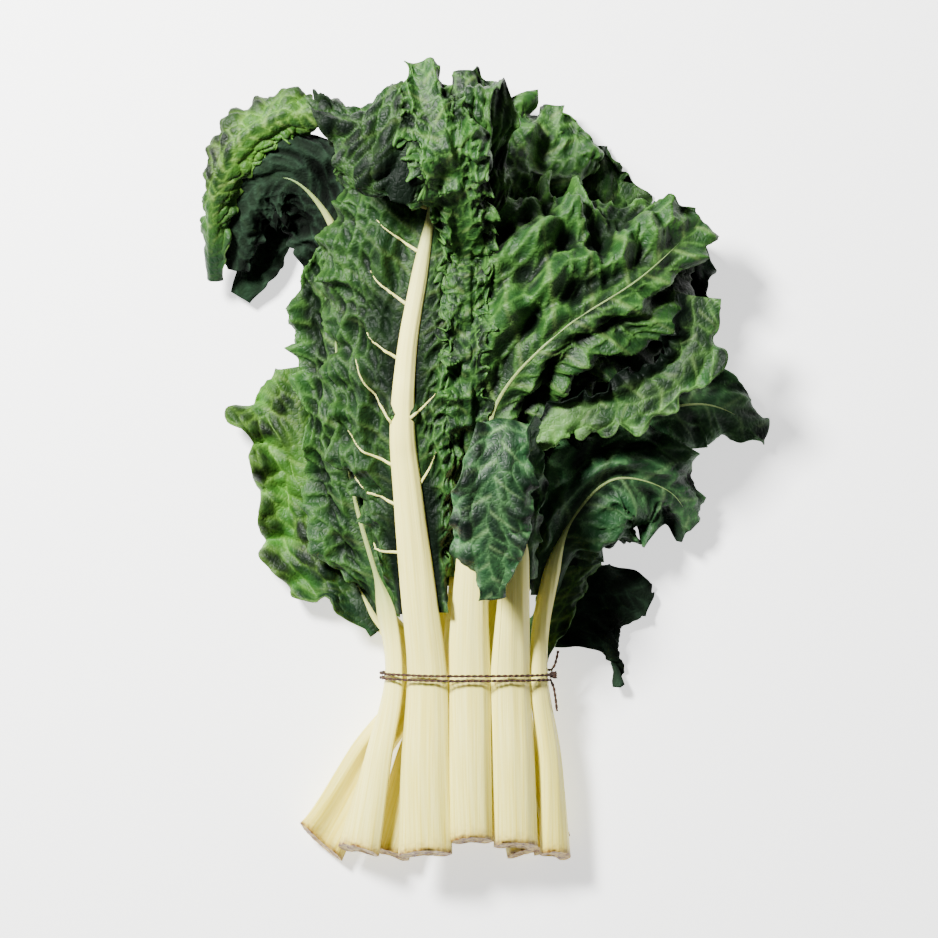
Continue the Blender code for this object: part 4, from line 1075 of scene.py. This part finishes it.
# Its lower margin turns up in lobes, lighter towards their end by painted light, with painted shade
# on one side.
lightLobes = {
    "spine": [(0.116, 0.19, 0.06), (0.112, 0.16, 0.062), (0.094, 0.142, 0.062),
              (0.07, 0.134, 0.064), (0.048, 0.13, 0.064), (0.034, 0.118, 0.062)],
    "reach": [(0, 0.01, 0.008), (0.25, 0.016, 0.013), (0.5, 0.016, 0.012), (0.75, 0.01, 0.012),
              (0.85, 0.01, 0.013), (1, 0.008, 0.008)],
    "bend": [(0, 0, -15, 0, -20), (1, 0, -15, 0, -20)],
    "finish": "leafFringe", "slot": "leaf_green", "seed": 15, "step": 0.0009,
    "cell": 0.008, "blister": 0.0012, "fold": 0.002, "lateral": 0.02,
    "ruffle": 0.003, "ruffleLength": 0.018, "lobe": 0.4, "lobeLength": 0.014, "round": 0.8,
    "pleat": 0.001, "pleatWidth": 0.012, "paintedShade": (1, 0, 0.45),
}
layFold("lightLobes", "right_big_blade", lightLobes)

# The front leaf: its broad white rib runs up the middle, and its tip is folded over.
front = {
    **usual,
    "spine": [(-0.0215, -0.09, 0.034), (-0.0215, -0.043, 0.037), (-0.0206, 0, 0.0376),
              (-0.024, 0.039, 0.045), (-0.029, 0.089, 0.054), (-0.032, 0.124, 0.06),
              (-0.0295, 0.164, 0.065), (-0.023, 0.202, 0.069), (-0.017, 0.237, 0.072),
              (-0.016, 0.27, 0.076), (-0.018, 0.283, 0.084), (-0.022, 0.27, 0.093),
              (-0.03, 0.246, 0.094), (-0.038, 0.216, 0.088)],
    "butt": 0.0275, "tie": 0.0214, "roll": (6, 20), "start": 0.032, "rows": 19, "folds": True,
    "reach": [(0, 0.011, 0.011), (0.2, 0.028, 0.026), (0.35, 0.036, 0.032), (0.55, 0.058, 0.034),
              (0.78, 0.062, 0.046), (0.9, 0.06, 0.052), (1, 0.03, 0.034)],
    "outline": [(0, 0.011, 0.011), (0.2, 0.03, 0.026), (0.35, 0.038, 0.032), (0.55, 0.056, 0.034),
                (0.74, 0.05, 0.04), (0.82, 0.05, 0.034), (0.9, 0.056, 0.034), (1, 0.044, 0.03)],
    "bend": [(0, -5, -25, -5, -25), (0.35, -8, -40, -5, -35), (0.7, -8, -42, -4, -38),
             (0.79, -2, -8, -2, -8), (0.85, 4, 24, 4, 24), (1, 6, 30, 6, 30)],
    "finish": "leafGreen", "slot": "leaf_green", "seed": 11, "step": 0.001, "until": 0.945,
    "cell": (0.007, 0.0055), "blister": 0.0028, "fold": 0.004, "lateral": 0.021,
    "ruffle": 0.0038, "ruffleLength": 0.02, "lobe": 0.12, "lobeLength": 0.016, "round": 0.9,
    "ribFade": (0.2, 0.25, 0.45), "pleat": 0.001, "pleatWidth": 0.02, "paintedShade": (0.4, 0, 0.9),
    "crest": 0.008, "crestDepth": 0.022,
}
surface, sideways, rowsAt = growLeaf("front", front)

# Its side veins stand out pale where they leave the rib.
sideVeins = {
    "width": 0.0019, "least": 0.22, "points": 22, "raise": 0.0003, "bow": 0.18,
    # distance above the tie, side, length, degrees towards the tip
    "veins": [(0.064, -1, 0.026, 8), (0.088, -1, 0.032, 26), (0.108, -1, 0.027, 28),
              (0.128, -1, 0.032, 52), (0.161, -1, 0.022, 24), (0.188, -1, 0.024, 22),
              (0.215, -1, 0.024, 18), (0.237, -1, 0.036, 10), (0.096, 1, 0.018, 50),
              (0.132, 1, 0.016, 40)],
}
layVeins("frontVeins", "front_blade", front, sideVeins, surface, sideways, rowsAt)

# A gathered, finely crinkled strip of it runs down beside the rib and over the folded tip.
gathered = {
    "spine": [(0.001, 0.112, 0.03), (0, 0.15, 0.03), (-0.001, 0.19, 0.04), (-0.002, 0.22, 0.08),
              (-0.012, 0.262, 0.106), (-0.019, 0.284, 0.107), (-0.023, 0.302, 0.1)],
    "reach": [(0, 0.008, 0.008), (0.2, 0.012, 0.01), (0.45, 0.012, 0.012), (0.6, 0.012, 0.014),
              (0.78, 0.02, 0.02), (0.92, 0.016, 0.016), (1, 0.012, 0.012)],
    "bend": [(0, 0, -10, 0, -10), (1, 0, -15, 0, -15)],
    "finish": "leafGreen", "slot": "leaf_green", "seed": 16, "step": 0.0008,
    "cell": 0.005, "blister": 0.0028, "fold": 0.003, "lateral": 0.02,
    "ruffle": 0.004, "ruffleLength": 0.011, "lobe": 0.2, "lobeLength": 0.01, "round": 0.85,
    "pleat": 0.002, "pleatWidth": 0.012,
}
layFold("frontGathers", "front_blade", gathered)

# A small leaf whose tip hangs back down over the stalks.
hanging = {
    **usual,
    "spine": [(0.025, -0.086, 0.033), (0.024, -0.043, 0.0365), (0.0226, 0, 0.0368),
              (0.024, 0.047, 0.048), (0.025, 0.092, 0.058), (0.023, 0.118, 0.068),
              (0.021, 0.128, 0.077), (0.016, 0.112, 0.086), (0.011, 0.077, 0.082),
              (0.013, 0.04, 0.068)],
    "butt": 0.0225, "tie": 0.0208, "roll": (-8, -22), "start": 0.05, "rows": 15, "folds": True,
    "reach": [(0, 0.009, 0.009), (0.25, 0.016, 0.016), (0.5, 0.022, 0.022), (0.8, 0.02, 0.02),
              (1, 0.009, 0.009)],
    "outline": [(0, 0.009, 0.009), (0.25, 0.014, 0.014), (0.45, 0.012, 0.012),
                (0.55, 0.014, 0.014), (0.7, 0.02, 0.02), (0.85, 0.019, 0.019), (1, 0.009, 0.009)],
    "bend": [(0, -5, -15, -5, -15), (0.42, -5, -10, -5, -10), (0.5, 0, 0, 0, 0),
             (0.6, 5, 15, 5, 15), (1, 5, 15, 5, 15)],
    "finish": "leafBlue", "slot": "leaf_blue", "seed": 12, "step": 0.001,
    "cell": 0.009, "blister": 0.0014, "fold": 0.0015, "lateral": 0.018,
    "ruffle": 0.0035, "ruffleLength": 0.02, "lobe": 0.08, "lobeLength": 0.014, "round": 0.8,
    "ribFade": (0.06, 0.09, 0.25), "pleat": 0.001, "pleatWidth": 0.014, "crest": 0.005,
    "crestDepth": 0.014,
}
growLeaf("hanging", hanging)

# Two turns of two-ply twine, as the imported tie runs, with a knot and two short ends at the right.
tie = {
    "diameter": 0.0022, "turns": 2, "pitch": 0.0024, "gap": 0.0004, "startStep": 4, "steps": 72,
    "tailBelow": 0.016, "tailAbove": 0.010, "tailFlare": 0.0035, "tailDrop": 0.004,
    "plyWidth": 0.00085, "plyOffset": 0.00034, "plyPitch": 0.0062, "pointStep": 0.0006,
    "knotRadius": 0.0014, "knotLoops": 3, "knotLength": 0.0026, "knotOut": 0.0012,
    "knotTight": 0.9, "knotPoints": 60, "tailShares": (1.0, 0.75, 0.5, 0.25), "easing": 2,
}


def tieOutline():
    reach = tie["turns"] * tie["pitch"] / 2 + tie["diameter"]
    near = []
    for rings in packedStalks:
        for before, after in zip(rings[:-1], rings[1:]):
            for p, q in zip(before, after):
                for y in (-reach, 0.0, reach):
                    if p[1] <= y < q[1]:
                        near.append(p + (q - p) * (y - p[1]) / (q[1] - p[1]))
    near = np.array(near)[:, [0, 2]]
    middle = (near.min(axis=0) + near.max(axis=0)) / 2
    angles = np.linspace(0.0, 2 * np.pi, tie["steps"], endpoint=False)
    normals = np.stack([np.cos(angles), np.sin(angles)], axis=1)
    tangents = np.stack([-np.sin(angles), np.cos(angles)], axis=1)
    need = ((near - middle) @ normals.T).max(axis=0) + tie["diameter"] / 2 + tie["gap"]
    support = need.copy()
    for _ in range(tie["easing"]):
        support = np.maximum(need, (np.roll(support, 1) + np.roll(support, -1)) / 2)
    slope = (np.roll(support, -1) - np.roll(support, 1)) / (2 * (angles[1] - angles[0]))
    return middle + normals * support[:, None] + tangents * slope[:, None], normals


def tieRoute():
    outline, normals = tieOutline()
    turns = []
    for i in range(tie["turns"] * tie["steps"] - tie["startStep"]):
        x, z = outline[(tie["startStep"] + i) % tie["steps"]]
        turns.append(np.array([x, tie["pitch"] * (i / tie["steps"] - tie["turns"] / 2), z]))
    outX, outZ = normals[tie["startStep"]]
    outward = np.array([outX, 0.0, outZ])
    lower, upper = [], []
    for share in tie["tailShares"]:
        flare = outward * tie["tailFlare"] * math.sqrt(share)
        below, above, drop = [tie[key] * share for key in ("tailBelow", "tailAbove", "tailDrop")]
        lower.append(turns[0] + flare + np.array([0.0, -below, -drop]))
        upper.append(turns[-1] + flare + np.array([0.0, above, drop]))
    knotPlace = (turns[0] + turns[-1]) / 2 + outward * tie["knotOut"]
    return np.array(lower + turns + upper[::-1]), knotPlace


def evenly(line, step):
    length = np.concatenate([[0.0], np.cumsum(np.linalg.norm(np.diff(line, axis=0), axis=1))])
    at = np.linspace(0.0, length[-1], int(length[-1] / step))
    return np.stack([np.interp(at, length, line[:, k]) for k in range(3)], axis=1), at


def plies(line, spacing):
    # two strands laid round each other along a line, this share of the usual distance apart
    line, at = evenly(line, tie["pointStep"])
    tangent = unit(np.gradient(line, axis=0))
    neverAlong = np.array([0.02, 1.0, 0.05])
    side = unit(np.cross(tangent, neverAlong))
    up = np.cross(side, tangent)
    strands = []
    for offset in (0.0, np.pi):
        turn = (2 * np.pi * at / tie["plyPitch"] + offset)[:, None]
        outward = side * np.cos(turn) + up * np.sin(turn)
        strands.append(line + outward * tie["plyOffset"] * spacing)
    return strands


def cordMesh(name, strands):
    lines = [np.hstack([strand, np.ones((len(strand), 1))]) for strand in strands]
    made = roundMesh(name, lines, tie["plyWidth"] / 2, 2)
    made.data.materials.clear()
    made.data.materials.append(finishes["twine"])
    return made


route, knotPlace = tieRoute()
move = np.array([shift[0], shift[1], 0.0])
twine = cordMesh("twine2ply", plies(route + move, 1.0))
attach(twine, "root")
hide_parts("twine")
share = np.linspace(0.0, 1.0, tie["knotPoints"])
turn = 2 * np.pi * tie["knotLoops"] * share
loops = np.stack([tie["knotRadius"] * np.cos(turn), (share - 0.5) * tie["knotLength"],
                  tie["knotRadius"] * np.sin(turn)], axis=1)
knot = cordMesh("twineKnot", plies(loops + knotPlace + move, tie["knotTight"]))
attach(knot, "root")
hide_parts("twine")
print("twine tied")

# The stage: a pale floor, one large soft light from the upper left and a weak fill.
stage = {
    "floor": "#F4F4F2", "floorSize": 6.0, "middle": (0.0, 0.03, 0.04),
    "viewHeight": 1.81, "lens": 135.0, "aim": (0.001, 0.10425),
    "key": (-0.62, 0.60, 1.02), "keySize": 0.26, "keyPower": 84.0,
    "fill": (0.75, -0.20, 1.1), "fillSize": 1.4, "fillPower": 1.0, "world": 0.12, "floorGlow": 1.30,
}
bpy.ops.object.select_all(action="DESELECT")
bpy.ops.mesh.primitive_plane_add(size=stage["floorSize"], location=(0.0, 0.0, 0.0))
floor = bpy.context.object
floor.name = "floor"
paper, paperTree, paperShader = newFinish("palePaper")
setInputs(paperTree, paperShader, {
    "Base Color": linear(stage["floor"]), "Roughness": 0.9,
    "Emission Color": (1.0, 1.0, 1.0, 1.0), "Emission Strength": stage["floorGlow"]})
floor.data.materials.append(paper)

middleOfBunch = Vector(stage["middle"])
for name in ("key", "fill"):
    light = bpy.data.lights.new(name, "AREA")
    light.size = stage[f"{name}Size"]
    light.energy = stage[f"{name}Power"]
    lamp = bpy.data.objects.new(name, light)
    bpy.context.collection.objects.link(lamp)
    lamp.location = stage[name]
    lamp.rotation_euler = (middleOfBunch - lamp.location).to_track_quat("-Z", "Y").to_euler()
world = bpy.data.worlds.new("studio")
world.use_nodes = True
setInputs(world.node_tree, world.node_tree.nodes["Background"],
          {"Color": (1.0, 1.0, 1.0, 1.0), "Strength": stage["world"]})
bpy.context.scene.world = world

view = bpy.data.cameras.new("fromAbove")
view.lens = stage["lens"]
camera = bpy.data.objects.new("fromAbove", view)
bpy.context.collection.objects.link(camera)
camera.location = (stage["aim"][0] + shift[0], stage["aim"][1] + shift[1], stage["viewHeight"])
bpy.context.scene.camera = camera
